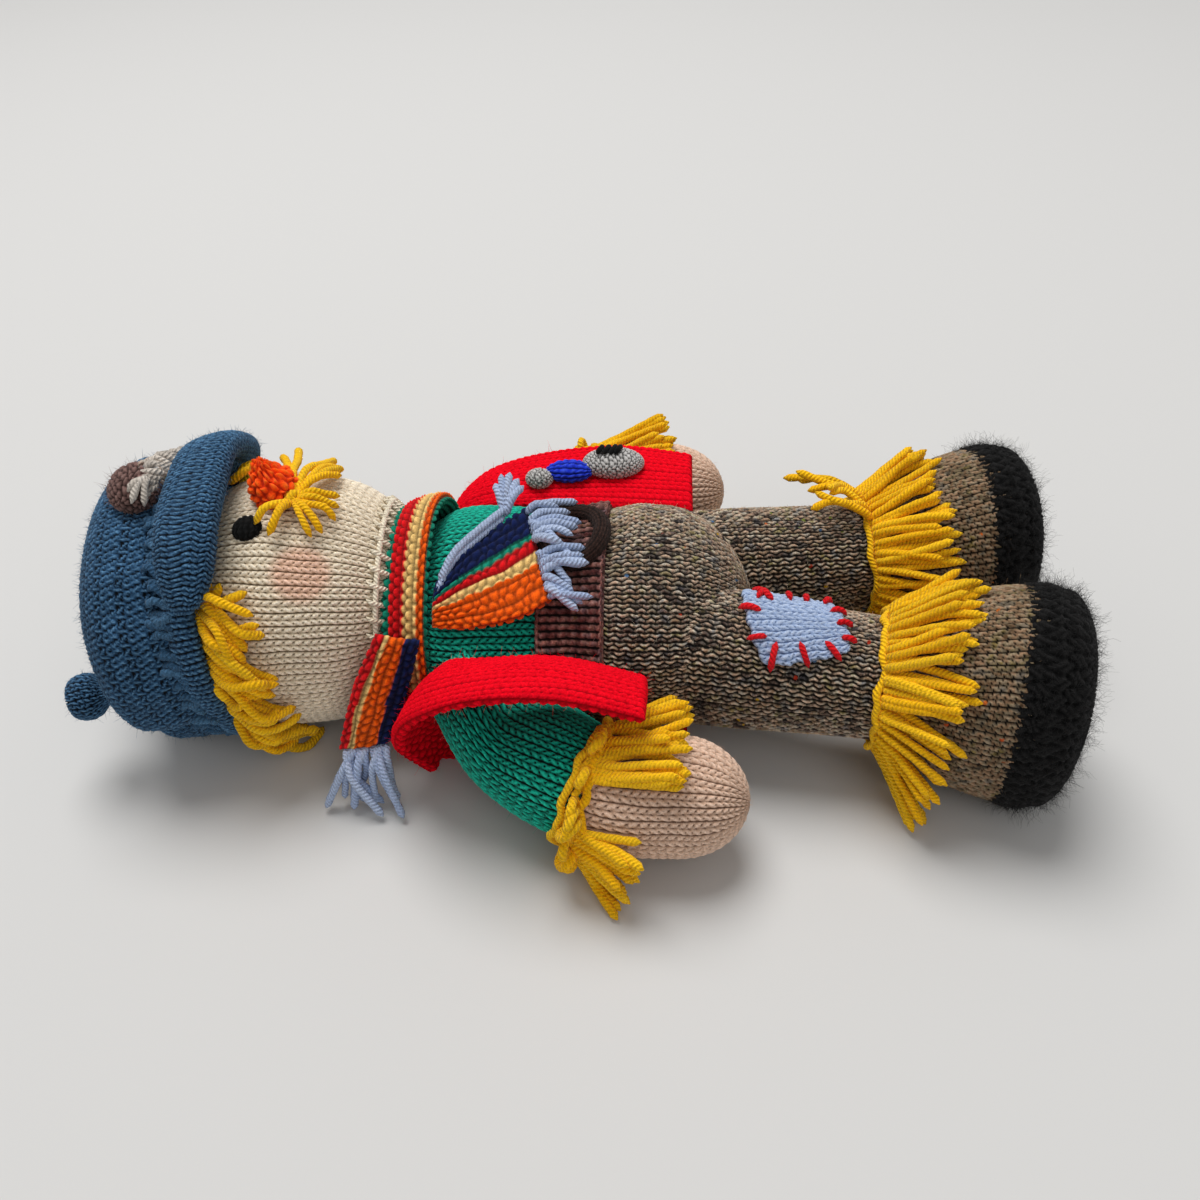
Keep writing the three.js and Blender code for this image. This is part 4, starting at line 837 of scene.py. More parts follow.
def pressed(surface):
    """A sleeve whose top the waistcoat presses down."""
    def points(u, v):
        p = surface(u, v)
        near = step(p[:, 0], -42, -26) * step(v, 0.96, 0.42)
        p[:, 2] -= 0.5 * near * np.maximum(p[:, 2] - 28, 0)
        return p

    points.round, points.long = surface.round, surface.long
    return points


for name, (sleeve, hand) in arms.items():
    fabric = sleeve.surface(floor=0.3, lumps=0.5)
    dress(f"{name}_sleeve_knit", pressed(fabric) if name == "right" else fabric, JUMPER_KNIT, green_wool,
          f"{name}_arm", [f"{name}_sleeve"], STUFFED)
    dress(f"{name}_hand_knit", hand.surface(floor=0.3, lumps=0.4), HAND_KNIT, pink_wool, f"{name}_arm",
          [f"{name}_hand"], STUFFED)

# Legs, boots and soles
for name, (leg, boot, sole) in legs.items():
    for part, surface, pattern, wool in (("leg", leg.surface(lumps=0.5), TROUSER_KNIT, tweed_wool),
                                         ("boot", boot.surface(floor=0.2, lumps=0.5), BOOT_KNIT, boot_wool),
                                         ("sole", sole.surface(floor=0.2, lumps=0.8), SOLE_KNIT, mohair)):
        dress(f"{name}_{part}_knit", surface, pattern, wool, f"{name}_leg", [f"{name}_{part}"], STUFFED)
    roots, normals = over_form(sole, 3800, SOLE - 8, SOLE + 17, (-60, 240))
    fur = fuzz(f"{name}_sole_mohair", roots, normals, 4.0, lean=2.2, curl=1.8, rings=5)
    take_over(fur, mohair, f"{name}_leg")

# Head
dress("head_knit", head.surface(low=20, out=0.1, lumps=0.3), FACE_KNIT, cream_wool, "head", ["head"], FIRM)


# Straw at ankles and cuffs

def straw_round(form, cover, start, long, angles, flare, lift, droop):
    """Straws tied round one form that lie over the next; those on its lower sides hang down."""
    paths = []
    for angle in angles:
        own = long * random.uniform(0.8, 1.06)
        drift = 8 * random.normal()
        low = float(step(np.array(max(20 - angle, angle - 160)), 0, 55))
        share = np.array([0.06, 0.3, 0.62, 1.0])
        out = lift + flare * random.uniform(0.1, 1.0) * share ** 1.5 + 0.8 * random.normal(size=4) * share
        run = own * share * (1 - 0.3 * low)
        p = cover.skin(start + run, angle + drift * share, out + 5 * low * share)
        p[:, 2] -= (droop * low + 2 * random.uniform()) * share ** 1.5
        paths.append(np.vstack([form.skin(start - 2.0, angle, 1.4)[None], above(p, YARN_LOW)]))
    return paths


def band_round(form, a, out):
    """A yarn wound once round a form."""
    angle = np.arange(0, 360, 10)
    many = len(angle)
    p = form.skin(a + 0.7 * random.normal(size=many), angle, out + 0.4 * random.normal(size=many))
    p = above(p, YARN_LOW)
    return np.vstack([p, p[:2]])


def loops_round(form, a, angles, size):
    """Small loops of yarn that stand out of a band."""
    paths = []
    for angle in angles:
        p, along, across, normal = spot(form, a, angle, 2.0)
        turnabout = np.linspace(0.3, 5.6, 7) + random.uniform(-0.4, 0.4)
        ring = along * random.uniform(-0.3, 0.9) + across
        paths.append([p + size * ((1 - math.cos(t)) * normal * 0.7 + math.sin(t) * ring * 0.6)
                      for t in turnabout])
    return paths


def spot(form, a, angle, out=0.0):
    """A place on a form: its point, and the directions along, across and out of the skin there."""
    a, angle = float(a), float(angle)
    along = unit(form.skin(a + 0.5, angle) - form.skin(a - 0.5, angle))
    normal = form.normal(a, angle)
    return form.skin(a, angle, out), along, np.cross(normal, along), normal


for name, (leg, boot, sole) in legs.items():
    paths = [band_round(leg, LEG_LENGTH + k, 1.9) for k in (-2.2, 0.2, 2.2)]
    for layer in range(3):
        angles = np.linspace(-64, 244, 40) + 7.7 * layer / 3 + random.normal(size=40) * 1.8
        paths += straw_round(leg, boot, LEG_LENGTH, 27 - 2 * layer, angles, 1.5 + 1.4 * layer,
                             1.2 + 1.5 * layer, 12)
    for k in range(9 if name == "left" else 0):
        p, along, across, normal = spot(leg, LEG_LENGTH - 1, random.uniform(70, 140), 2.5)
        reach = random.uniform(14, 25)
        bend = p + normal * 8 - along * reach * 0.6 + across * random.normal() * 3
        tip = p + normal * random.uniform(6, 12) - along * reach + across * random.normal() * 5
        paths.append([p, p + normal * 4 - along * 3, bend, tip])
    lay(f"{name}_ankle_fringe", paths, 2.8, straw_wool, f"{name}_leg", [f"{name}_ankle_straw"])
# Tufts of the cuffs: middle and spread of their angles, straws, flare, droop and length
CUFF_TUFTS = (98, 42, 34, 13, 0, 31), (-24, 34, 34, 8, 12, 19), (190, 36, 12, 6, 5, 24)
for name, (sleeve, hand) in arms.items():
    paths = [band_round(sleeve, SLEEVE_LENGTH + k, 2.1) for k in (-2.2, 0.2, 2.4)]
    for middle, spread, many, flare, droop, long in CUFF_TUFTS:
        angles = middle + spread * random.uniform(-1, 1, many)
        angles = angles if name == "right" else 180 - angles
        paths += straw_round(sleeve, hand, SLEEVE_LENGTH, long, angles, flare, 1.8, droop)
    paths += loops_round(sleeve, SLEEVE_LENGTH + 1, random.uniform(-45, 30, 8), 5.5)
    paths += loops_round(sleeve, SLEEVE_LENGTH, random.uniform(30, 240, 6), 4.2)
    lay(f"{name}_cuff_fringe", [above(p, YARN_LOW) for p in paths], 3.0, straw_wool, f"{name}_arm",
        [f"{name}_cuff_straw"])


# Cloth strips and small rounded pieces

def strip_surface(edge_a, edge_b, thick, outward, crown=0.0):
    """A strip of cloth between two edge lines, with turned edges and ends, as one closed surface."""
    lines = [smooth_line(edge_a), smooth_line(edge_b)]
    runs = [lengths(line)[-1] for line in lines]
    long = sum(runs) / 2
    outward = np.asarray(outward, float)

    def edges(v):
        """Places on both edges by a share along the strip."""
        v = np.clip(v, 0, 1)
        return [at_length(line, v * run) for line, run in zip(lines, runs)]

    def place(u, v):
        """Both edges, the width between them, how far across it and on which face a place lies."""
        a, b = edges(v)
        wide = np.linalg.norm(b - a, axis=-1)
        cap = math.pi * thick / 4
        loop = 2 * wide + 4 * cap
        s = (u % 1) * loop
        face = np.where(s > loop / 2, -1.0, 1.0)
        s = np.where(s > loop / 2, loop - s, s)
        first = np.clip(s / cap, 0, 1) * math.pi / 2
        last = np.clip((s - cap - wide) / cap, 0, 1) * math.pi / 2
        out = np.clip(s - cap, 0, wide) - thick / 2 * np.cos(first) * (s < cap) + thick / 2 * np.sin(last)
        high = np.where(s < cap, np.sin(first), np.cos(last))
        return a, b, wide, out, high * face

    def points(u, v):
        a, b, wide, out, high = place(u, v)
        across = (b - a) / wide[:, None]
        before = np.clip(v, 0, 0.99)
        ahead = [p - q for p, q in zip(edges(before + 0.01), edges(before))]
        normal = unit(np.cross(across, ahead[0] + ahead[1]))
        # Outward is a direction, or a list of one point inside
        way = normal @ outward if outward.ndim == 1 else (normal * (a - outward[0])).sum(1)
        normal = normal * np.where(way < 0, -1, 1)[:, None]
        body = thick / 2 * np.sqrt(np.clip(1 - (1 - shrink(u, v)) ** 2, 0, 1))
        rise = crown * np.sin(math.pi * np.clip(out / wide, 0, 1))
        return a + across * out[:, None] + normal * (high * body + rise)[:, None]

    def share(u, v):
        """How far across the strip, from its first edge to its second."""
        _, _, wide, out, _ = place(u, v)
        return np.clip(out / wide, 0, 1)

    def shrink(_, v):
        """How much of the relief is left near the ends."""
        return np.clip(np.minimum(v, 1 - v) * long / (thick / 2), 0, 1)

    a, b = edges(np.linspace(0, 1, 50))
    points.round = 2 * np.linalg.norm(b - a, axis=-1).mean() + math.pi * thick
    points.long = long
    points.share, points.shrink = share, shrink
    return points


def egg_surface(middle, ax, ay, az):
    """An egg with its poles along its first half axis."""
    def points(u, v):
        t, a = math.pi * v, TAU * u
        ring = ay * np.cos(a)[:, None] + az * np.sin(a)[:, None]
        return middle - ax * np.cos(t)[:, None] + ring * np.sin(t)[:, None]

    big = (np.linalg.norm(ay) + np.linalg.norm(az)) / 2
    points.round, points.long = TAU * big, math.pi * (np.linalg.norm(ax) + big) / 2
    return points


def egg_on(seat_at, half, spin=0.0):
    """A small egg on a form, with its half sizes along, across and out."""
    p, along, across, normal = seat_at
    c, s = math.cos(math.radians(spin)), math.sin(math.radians(spin))
    along, across = along * c + across * s, across * c - along * s
    return egg_surface(p, along * half[0], across * half[1], normal * half[2])


def two_faced(columns):
    """Plain on the outer face, purl on the inner one."""
    return lambda x, y: either((x / columns) % 1 < 0.5, stocking_stitch(x, y), purl_stitch(x, y * 0.5))


def cloth(name, strip, size, relief, fine, wool, body, nodes, stitch=None, colours=None):
    """A knitted sheet over a strip."""
    columns, rows = counts(strip, *size)
    columns += columns % 2
    chosen = stitch or two_faced(columns)
    piece = knit(name, strip, columns, rows, chosen, relief, fine, colours, strip.shrink)
    return take_over(piece, wool, body, nodes)


# Waistcoat: a back under the trunk and two open fronts

VEST_X, VEST_LENGTH, BACK_TOP = -61.0, 109.0, 4.5
# Rows of the fronts: share of the length, then how far out and up the arm edge and the middle edge lie
RIGHT_ROWS = [(0.05, 45, 0, 32, 0), (0.01, 54, 22, 38, 28), (0.07, 65, 46, 46, 50), (0.22, 72, 62, 50, 56),
              (0.48, 75, 67, 49, 56), (0.74, 77, 61, 55, 53)]
RIGHT_EDGE_BACK, RIGHT_EDGE_AHEAD = (3, 6, 4, 0, 0, 0), (3, 7, 6, 3, 0, 0)
LEFT_ROWS = [(0.05, 45, 0, 32, 0), (0.01, 52, 26, 37, 28), (0.07, 57, 50, 38, 52), (0.24, 62, 60, 37, 59),
             (0.58, 69, 62, 35, 60), (0.88, 61, 63, 32, 61)]

for name, side, rows in (("right", -1, RIGHT_ROWS), ("left", 1, LEFT_ROWS)):
    arm_edge, middle_edge = ([[VEST_X + VEST_LENGTH * row[0], side * row[k], BACK_TOP + row[k + 1]]
                              for row in rows] for k in (1, 3))
    if name == "right":
        for near, far, back, ahead in zip(arm_edge, middle_edge, RIGHT_EDGE_BACK, RIGHT_EDGE_AHEAD):
            near[0] -= back
            far[0] += ahead
    front = strip_surface(arm_edge, middle_edge, 5.2, [[0, 0, 15.0]], crown=2.0)
    piece = cloth(f"{name}_waistcoat_front", front, (4.4, 2.8), 0.9, (6, 4), red_wool, "torso",
                  [f"vest_{name}_front"])
back_edges = [[(VEST_X + x, y, 2.2) for x in (0, 30, 60, 94)] for y in (-36, 36)]
back = strip_surface(*back_edges, 4.0, [0, 0, -1])
piece = cloth("waistcoat_back", back, (3.3, 2.6), 0.7, (4, 2), red_wool, "torso", ["vest_back"])


# Mouse on the left front

def box_of(node):
    """Middle and half sizes of a solid's box, in mm."""
    low, high = (np.array(c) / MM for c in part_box(node))
    return (low + high) / 2, (high - low) / 2


for name, node, pattern, grow, wool in (
        ("mouse_head_knit", "mouse_head", MOUSE_KNIT, (1.2, 1.1, 1.05), grey_wool),
        ("mouse_body_wrap", "mouse_body", MOUSE_WINDING, (1.4, 0.95, 0.86), royal_yarn),
        ("mouse_bobble_knit", "mouse_bobble", BOBBLE_KNIT, (1.2, 1.0, 1.0), grey_wool)):
    middle, half = box_of(node)
    dress(name, egg_surface(middle, *np.diag(half * np.array(grow))), pattern, wool, "torso", [node], FIRM)
middle, _ = box_of("mouse_nose")
paths = [[middle + (x - 1.4, -2.8, 0), middle + (x, 0, 0.9), middle + (x + 1, 2.8, 0)]
         for x in (-2.6, 0, 2.4, 4.4)]
lay("mouse_nose_stitches", paths, 2.0, black_wool, "torso", ["mouse_nose"])

# Knee patch with its blanket stitches: corners as lengths along the leg and angles round it

PATCH = np.array([(8.5, 110), (43, 117), (51, 58), (21, 33)])
PATCH_EDGE = 0.05
right_leg = legs["right"][0]


def on_patch(along, across, out):
    """A place on the patch by shares along and across it."""
    far = PATCH[0] + (PATCH[1] - PATCH[0]) * np.asarray(along)[..., None]
    near = PATCH[3] + (PATCH[2] - PATCH[3]) * np.asarray(along)[..., None]
    q = far + (near - far) * np.asarray(across)[..., None]
    return right_leg.skin(q[..., 0], q[..., 1], out)


def patch_surface(u, v):
    """The patch, closed round its thickness."""
    w = np.abs(2 * (u % 1) - 1)
    rim = np.minimum(np.minimum(w, 1 - w), np.minimum(v, 1 - v))
    high = np.sqrt(np.clip(1 - (1 - np.clip(rim / PATCH_EDGE, 0, 1)) ** 2, 0, 1))
    x, y = 2 * v - 1, 2 * w - 1
    x, y = (x * (1 - 0.13 * np.abs(y) ** 3 + 0.025 * np.cos(4.5 * math.pi * y)),
            y * (1 - 0.13 * np.abs(x) ** 3 + 0.025 * np.cos(4.5 * math.pi * x)))
    p = on_patch(0.5 + x / 2, 0.5 + y / 2, 1.0)
    bone = right_leg.put(*[np.full(len(w), c) for c in (30, 0, 0)])
    normal = unit(p - bone * [0, 1, 1] - p * [1, 0, 0])
    return p + normal * (high * np.where(u % 1 < 0.5, 1.6, -0.6))[:, None]


def patch_shrink(_, v):
    return np.clip(np.minimum(v, 1 - v) / PATCH_EDGE, 0, 1)


patch = knit("knee_patch_knit", patch_surface, 16, 12, stocking_stitch, 1.0, (8, 5), shrink=patch_shrink)
take_over(patch, patch_wool, "right_leg", ["knee_patch"])
# Both ends of each stitch, as shares along and across the patch
SEWN = [((0.17, -0.03), (0.33, 0.22)), ((0.34, -0.03), (0.16, 0.22)), ((0.52, -0.05), (0.51, 0.17)),
        ((0.7, -0.05), (0.67, 0.16)), ((0.95, -0.03), (0.84, 0.15)), ((1.04, 0.3), (0.86, 0.33)),
        ((1.05, 0.55), (0.88, 0.55)), ((1.04, 0.82), (0.89, 0.76)), ((0.84, 1.04), (0.72, 0.78)),
        ((0.5, 1.05), (0.47, 0.76)), ((0.1, 1.02), (0.24, 0.74)), ((-0.05, 0.34), (0.17, 0.4)),
        ((-0.05, 0.68), (0.16, 0.68))]
paths = []
for start, end in SEWN:
    spots = [np.array(start) + (np.array(end) - start) * t for t in (0, 0.35, 0.7, 1)]
    paths.append([on_patch(a, c, out) for (a, c), out in zip(spots, (1.0, 3.2, 3.4, 2.2))])
lay("knee_patch_stitches", paths, 2.1, red_yarn, "right_leg")

# Hat

HAT_LOW = 0.4
crown_skin = hat.surface(lumps=0.6)


def hat_crown(u, v):
    """The puffed crown, gathered towards the rim."""
    p = crown_skin(u, v)
    angle = TAU * u
    fold = np.cos(19 * angle + 1.3 * np.sin(2 * angle + 1)) * 0.6 * step(v, 0.55, 0.95)
    sag = 1.2 * np.sin(3 * angle + 0.5) * step(v, 0.2, 0.7)
    below = np.degrees(angle) - 304
    crease = 1.6 * np.exp(-((below + 24) / 14) ** 2) - 5 * np.exp(-(below / 7) ** 2)
    sag = sag + crease * step(v, 0.25, 0.5)
    foot = HEAD_TURN @ hat_foot + HEAD_PLACE
    lean = HEAD_TURN @ hat_lean
    axis = foot + lean * ((p - foot) @ lean)[:, None]
    p = p + unit(p - axis) * ((fold + sag) * np.clip(v * 4, 0, 1))[:, None]
    return above(p, HAT_LOW)


hat_crown.round, hat_crown.long = crown_skin.round, crown_skin.long
dress("hat_crown_knit", hat_crown, CROWN_KNIT, blue_wool, "head", ["hat_crown"], LIMP)


# Rim: a loop of lengths along the hat's axis and radii
RIM_LOOP = smooth_line([(38.4, 43), (39.0, 45.8), (40.6, 49.2), (44.5, 51.4), (48.8, 51), (50.8, 48.8),
                        (49.6, 46), (46, 43.5), (42, 42), (39.2, 41.6)], 300, closed=True)
RIM_RADIUS = 50


def rim_surface(u, v):
    """The rolled rim of the hat."""
    a, r = at_share(RIM_LOOP, v % 1).T
    angle = -math.pi / 2 - TAU * u
    r = r + 0.9 * np.sin(9 * angle + 1.5) * 0.5 + 0.5 * np.sin(4 * angle)
    return above(hat.put(a, r, angle), HAT_LOW)


rim_surface.round, rim_surface.long = TAU * RIM_RADIUS, lengths(RIM_LOOP)[-1]
dress("hat_rim_knit", rim_surface, RIM_KNIT, blue_wool, "head", ["hat_rim"], LIMP)

# Seam stitches between crown and rim
paths = []
for k in range(64):
    angle = -58 + 206 * k / 63 + random.normal()
    a = np.array([35.6, 38.2, 41.4, 43.6]) + 0.8 * random.normal()
    angles = angle + np.array([0, 1.2, -0.6, 0.6]) + 1.4 * random.normal(size=4)
    radii = np.array([49.6, 49.9, 49.4, 51.0]) + 0.5 * random.normal(size=4)
    paths.append(above(hat.put(a, radii, np.radians(angles)), YARN_LOW))
lay("hat_seam_stitches", paths, 3.0, blue_yarn, "head")


def peak_surface(u, v):
    """The padded peak, a thick tongue over the brow."""
    share = 2 * v - 1
    reach = (15 - 3 * share) * (1 - 0.42 * np.abs(share) ** 3)
    angle = np.radians(90 + 60 * share)
    ends = np.sqrt(np.clip(1 - np.abs(share) ** 7, 0, 1))
    c, s = np.cos(TAU * u), np.sin(TAU * u)
    long = (reach / 2 + 3.5) * np.sign(c) * np.abs(c) ** 0.8 * ends
    high = (5.2 - 0.6 * share ** 2) * np.sign(s) * np.abs(s) ** 0.75 * ends
    lean = math.atan(0.16)
    a = 44.0 + reach / 2 + long * math.cos(lean) - high * math.sin(lean)
    r = 52.0 + reach * 0.08 + long * math.sin(lean) + high * math.cos(lean) + 1.2 * (1 - share ** 2)
    r = r + 0.7 * np.sin(9 * share) * ends
    return hat.put(a, r, angle)


peak = knit("hat_peak_knit", peak_surface, 20, 36, sideways(stocking_stitch), 1.0, (4, 6))
take_over(peak, blue_wool, "head", ["hat_peak"], PUFFED)

knob_at = spot(hat, 6.4, -18)
knob_way = unit(knob_at[3] + 1.4 * (HEAD_TURN @ hat_lean))
knob_side = unit(np.cross(knob_way, [0, 0, 1.0]))
knob_up = np.cross(knob_side, knob_way)


def turned_outline(outline, u, v, way, other):
    """Heights along an outline and places round its axis, by shares round and along it."""
    r, h = at_share(smooth_line(outline), v).T
    ring = way * np.cos(TAU * u)[:, None] + other * np.sin(TAU * u)[:, None]
    return h, ring * r[:, None]


def knob_surface(u, v):
    """A knitted ball on a short neck."""
    outline = [(5.5, -3), (4.6, 2.5), (7.6, 6.5), (8.3, 10.5), (6.4, 14.5), (0, 16.5)]
    h, ring = turned_outline(outline, -u, v, knob_side, knob_up)
    return knob_at[0] + knob_way * h[:, None] + ring


knob = knit("hat_knob_knit", knob_surface, 15, 10, stocking_stitch, 0.9)
take_over(knob, blue_wool, "head", ["hat_knob"], FIRM)
dress("hat_pad_knit", egg_on(spot(hat, 30, 83, 1.5), (9, 11, 7)), PAD_KNIT, brown_wool, "head", ["hat_pad"],
      FIRM)
dress("hat_leaf_braid", egg_on(spot(hat, 39.5, 92, 2.5), (13.5, 8.5, 6.2), 24), LEAF_KNIT, beige_wool,
      "head", ["hat_leaf"], FIRM)
paths = []
for k in range(7):
    turns = np.linspace(0, 1, 9)
    twist = 2.1 * TAU * turns + k * TAU / 7
    own = 1 - 0.12 * random.uniform()
    a = 34 + 11 * own * turns + 2.1 * np.sin(twist)
    angle = 77 + 36 * own * turns ** 0.9 - 2.6 * np.sin(twist)
    paths.append(hat.skin(a, angle, 8.2 + 1.8 * np.cos(twist) - 3.5 * step(turns, 0.35, 0)))
for tip in ((31.5, 75, 7), (33, 71, 6), (36.5, 71, 5.5)):
    paths.append(np.array([hat.skin(*q) for q in ((37, 82, 8), ((37 + tip[0]) / 2, 78, 9), tip)]))
lay("hat_leaf_yarns", paths, 2.6, leaf_yarn, "head")

# Face

NOSE_SEAT = spot(head, 43.5, 87, -4)


def nose_surface(u, v):
    """A short carrot that curls towards the hat."""
    outline = [(5.6, 0), (7.9, 3.5), (8.6, 7.5), (7.8, 11.5), (5.2, 14.3), (3.3, 16.2), (2.4, 18), (0, 19)]
    p, along, across, normal = NOSE_SEAT
    h, ring = turned_outline(outline, u, v, along, across)
    curl = 3.5 * step(h, 10, 19)
    return p + normal * h[:, None] + ring - along * curl[:, None]


nose = knit("nose_knit", nose_surface, 12, 5, knobbly, 1.7, (8, 10))
take_over(nose, orange_wool, "head", ["nose"], FIRM)
for name, side in SIDES.items():
    eye = egg_on(spot(head, 36.5, 90 + side * 22, 0.2), (5.2, 5.0, 2.8))
    dress(f"{name}_eye_stitches", eye, EYE_KNIT, black_wool, "head", [f"{name}_eye"])


def head_path(*spots):
    return np.array([head.skin(a, angle, out) for a, angle, out in spots])


def loose(path, amount):
    """A path whose points, but for the first, stray by chance."""
    path = np.array(path, float)
    path[1:] += amount * random.normal(size=path[1:].shape)
    return path


# Moustache: yarns from a knot to their ends, as lengths along the head, angles and heights over its skin
KNOT = 51.0, 80, 3.5
YARN_ENDS = [(40, 69, 2.5), (41, 112, 6), (46, 118, 8), (58, 122, 6), (61, 118, 4), (62, 110, 5),
             (63, 103, 4), (65, 86, 4.5), (66, 80, 4), (66, 72, 3.5), (62, 66, 3.5), (59, 63, 3),
             (45, 62, 3)]
paths = []
for a, angle, out in YARN_ENDS:
    near = (KNOT[0] * 2 + a) / 3, (KNOT[1] * 2 + angle) / 3, 6.5
    far = (KNOT[0] + a * 2) / 3, (KNOT[1] + angle * 2) / 3, 6.0
    paths.append(loose(head_path(KNOT, near, far, (a, angle, out)), 0.5))
for angle in (100, 107, 114):
    paths.append(loose(head_path((24, angle, 3), (28, angle, 5), (33, angle + 2, 5)), 0.5))
paths.append(head_path((47, 84, 2.5), (50, 80, 5.5), (54, 76, 2.5)))
paths.append(head_path((48, 76, 2.5), (51, 81, 6), (54, 85, 2.5)))
lay("moustache_yarns", paths, 2.8, straw_wool, "head", ["straw_moustache"])


def rim_spot(angle, run, out):
    """A place on the head just past the hat's rim; the angle is in degrees from the right side upwards."""
    inside = hat.put(51.5, 44.0, np.radians(angle))
    local = (inside - HEAD_PLACE) @ HEAD_TURN
    around = math.degrees(math.atan2(local[2], -local[1]))
    return head.skin(local[0] + HEAD_LENGTH + run, around, out)


# Hair: three layers of locks, and yarns that run along the rim
for name, side in SIDES.items():
    paths = []
    for layer in range(3):
        for k in range(15):
            angle = 90 + side * (50 + 84 * (k + layer / 3) / 15 + 2 * random.normal())
            own = 17 * random.uniform(0.55, 1.3)
            lean = side * random.uniform(-4, 30)
            out = random.uniform(0.5, 3.5) + 1.8 * layer
            path = [rim_spot(angle, -3, 2.0), rim_spot(angle + lean * 0.3, own * 0.35, 2.8 + out),
                    rim_spot(angle + lean * 0.7, own * 0.7, 2.4 + out),
                    rim_spot(angle + lean, own, 1.8 + 0.6 * out)]
            paths.append(loose(path, 1.1))
    for run in (0.5, 3.4, 6.0):
        paths.append(np.array([rim_spot(90 + side * (48 + 90 * t), run + random.normal(), 2.4)
                               for t in np.linspace(0, 1, 14)]))
    paths = [above(path, 1.8) for path in paths]
    lay(f"{name}_hair_yarns", paths, 3.2, straw_wool, "head", [f"{name}_hair"])

# Neck gathering: short stitches that draw the neck in
paths = []
for k in range(40):
    angle = 360 * k / 40
    paths.append(head_path((76.5, angle + 2.5, 0.2), (79, angle, 1.8), (84.5, angle - 1.5, 1.4)))
paths.append(head_path(*[(79.5, angle, 1.4) for angle in range(0, 375, 9)]))
lay("neck_gathering_stitches", paths, 1.9, cream_yarn, "head", ["neck_gathering_yarn"])

# Scarf

GREEN, RED, CREAM, ORANGE, NAVY = map(linear, ("#12846a", "#d8131a", "#efc77c", "#f4600c", "#121f4c"))
COLLAR_LOOP = smooth_line([(-71.6, 35.4), (-70.8, 37.8), (-67.5, 40.4), (-63, 42.2), (-58.5, 43.2),
                           (-55.8, 42.8), (-55, 40.5), (-58, 38), (-64, 36.6), (-69, 35.2)], 300,
                          closed=True)


def stripes(share, *bands):
    """Colours across a scarf: each band by where it ends."""
    where = np.array([end for end, _ in bands])
    table = np.array([colour for _, colour in bands])
    return table[np.minimum(np.searchsorted(where, share), len(bands) - 1)]


def collar_surface(u, v):
    """The scarf round the neck, closed round its thickness."""
    a, r = at_share(COLLAR_LOOP, v % 1).T
    angle = -math.pi / 2 - TAU * u
    r = r + 0.5 * np.sin(5 * angle)
    return above(np.stack([a, -r * np.cos(angle), 43.1 + r * 0.985 * np.sin(angle)], -1), 2.2)


def collar_colours(_, v):
    return stripes(v % 1, (0.125, GREEN), (0.29, RED), (0.415, CREAM), (0.5, ORANGE), (1.0, GREEN))


collar = knit("scarf_collar_knit", collar_surface, 66, 8, purl_stitch, 1.9, (6, 10), collar_colours,
              even=True)
take_over(collar, scarf_wool, "torso", ["scarf_collar"])


def on_chest(a, angle, out):
    """A place over the jumper that also clears the belt."""
    a = np.asarray(a, float)
    return torso.skin(a, angle, out + 4.3 * step(a, 30, 48))


low_edge = [on_chest(a, angle, 3.2) for a, angle in ((14, 42), (27, 41.5), (42, 45), (54, 53))]
high_edge = [on_chest(a, angle, 3.6) for a, angle in ((14, 54), (22, 70), (33, 84), (44, 95))]
tail = strip_surface(low_edge, high_edge, 4.4, [[0, 0, TRUNK_Z]], crown=1.0)


def tail_colours(u, v):
    return stripes(tail.share(u, v), (0.36, ORANGE), (0.49, CREAM), (0.62, RED), (0.72, GREEN), (1.0, NAVY))


TAIL_STITCH, TAIL_FINE = (5.4, 3.7), (9, 6)
front_tail = cloth("scarf_front_tail_knit", tail, TAIL_STITCH, 1.5, TAIL_FINE, scarf_wool, "front_tail",
                   ["scarf_front_tail"], sideways(purl_stitch), tail_colours)
paths = []
for k in range(17):
    t = np.clip(k / 16 + 0.03 * random.normal(), 0, 1)
    root = on_chest(53 - 10 * t, 51 + 44 * t, 3.4)
    reach = 12 * random.uniform(0.6, 1.25)
    end = on_chest(54 - 8 * t + reach, 49 + 46 * t + 7 * random.normal(), 4.0 + 3 * random.uniform())
    middle = (root + end) / 2 + np.array([0, 0, 2.5]) + 0.8 * random.normal(size=3)
    paths.append([root, root * 0.6 + middle * 0.4 + (0, 0, 1.2), middle, end])
# A doubled cord over the tail that ends in a small tassel
cord = [torso.skin(*q) for q in ((15.5, 55, 4.5), (20, 68, 5.2), (28, 80, 5.5), (36, 92, 6.5))]
paths.append(cord)
paths.append([p + np.array([0.8, 2.6, 2.2]) for p in cord])
for tip in ((4, 13, 7), (1, 14, 9), (-2, 13, 9), (6, 10, 6), (-4, 10, 7)):
    paths.append([cord[-1], cord[-1] + np.array(tip) * 0.45 + (0, 0, 2.5), cord[-1] + tip])
front_tassels = lay("scarf_front_tassels", paths, 2.9, sky_yarn, "front_tail", ["front_tassels"])

side_edges = [[(-57.5, -43.5, 66), (-63.5, -48.5, 46), (-71.5, -52, 25.5)],
              [(-68, -43.5, 68), (-79, -48.5, 46), (-87, -52, 22)]]
side = strip_surface(*side_edges, 4.4, [0, -1, 0.2], crown=0.8)


def side_colours(u, v):
    return stripes(side.share(u, v), (0.26, NAVY), (0.76, ORANGE), (0.9, CREAM), (1.0, RED))


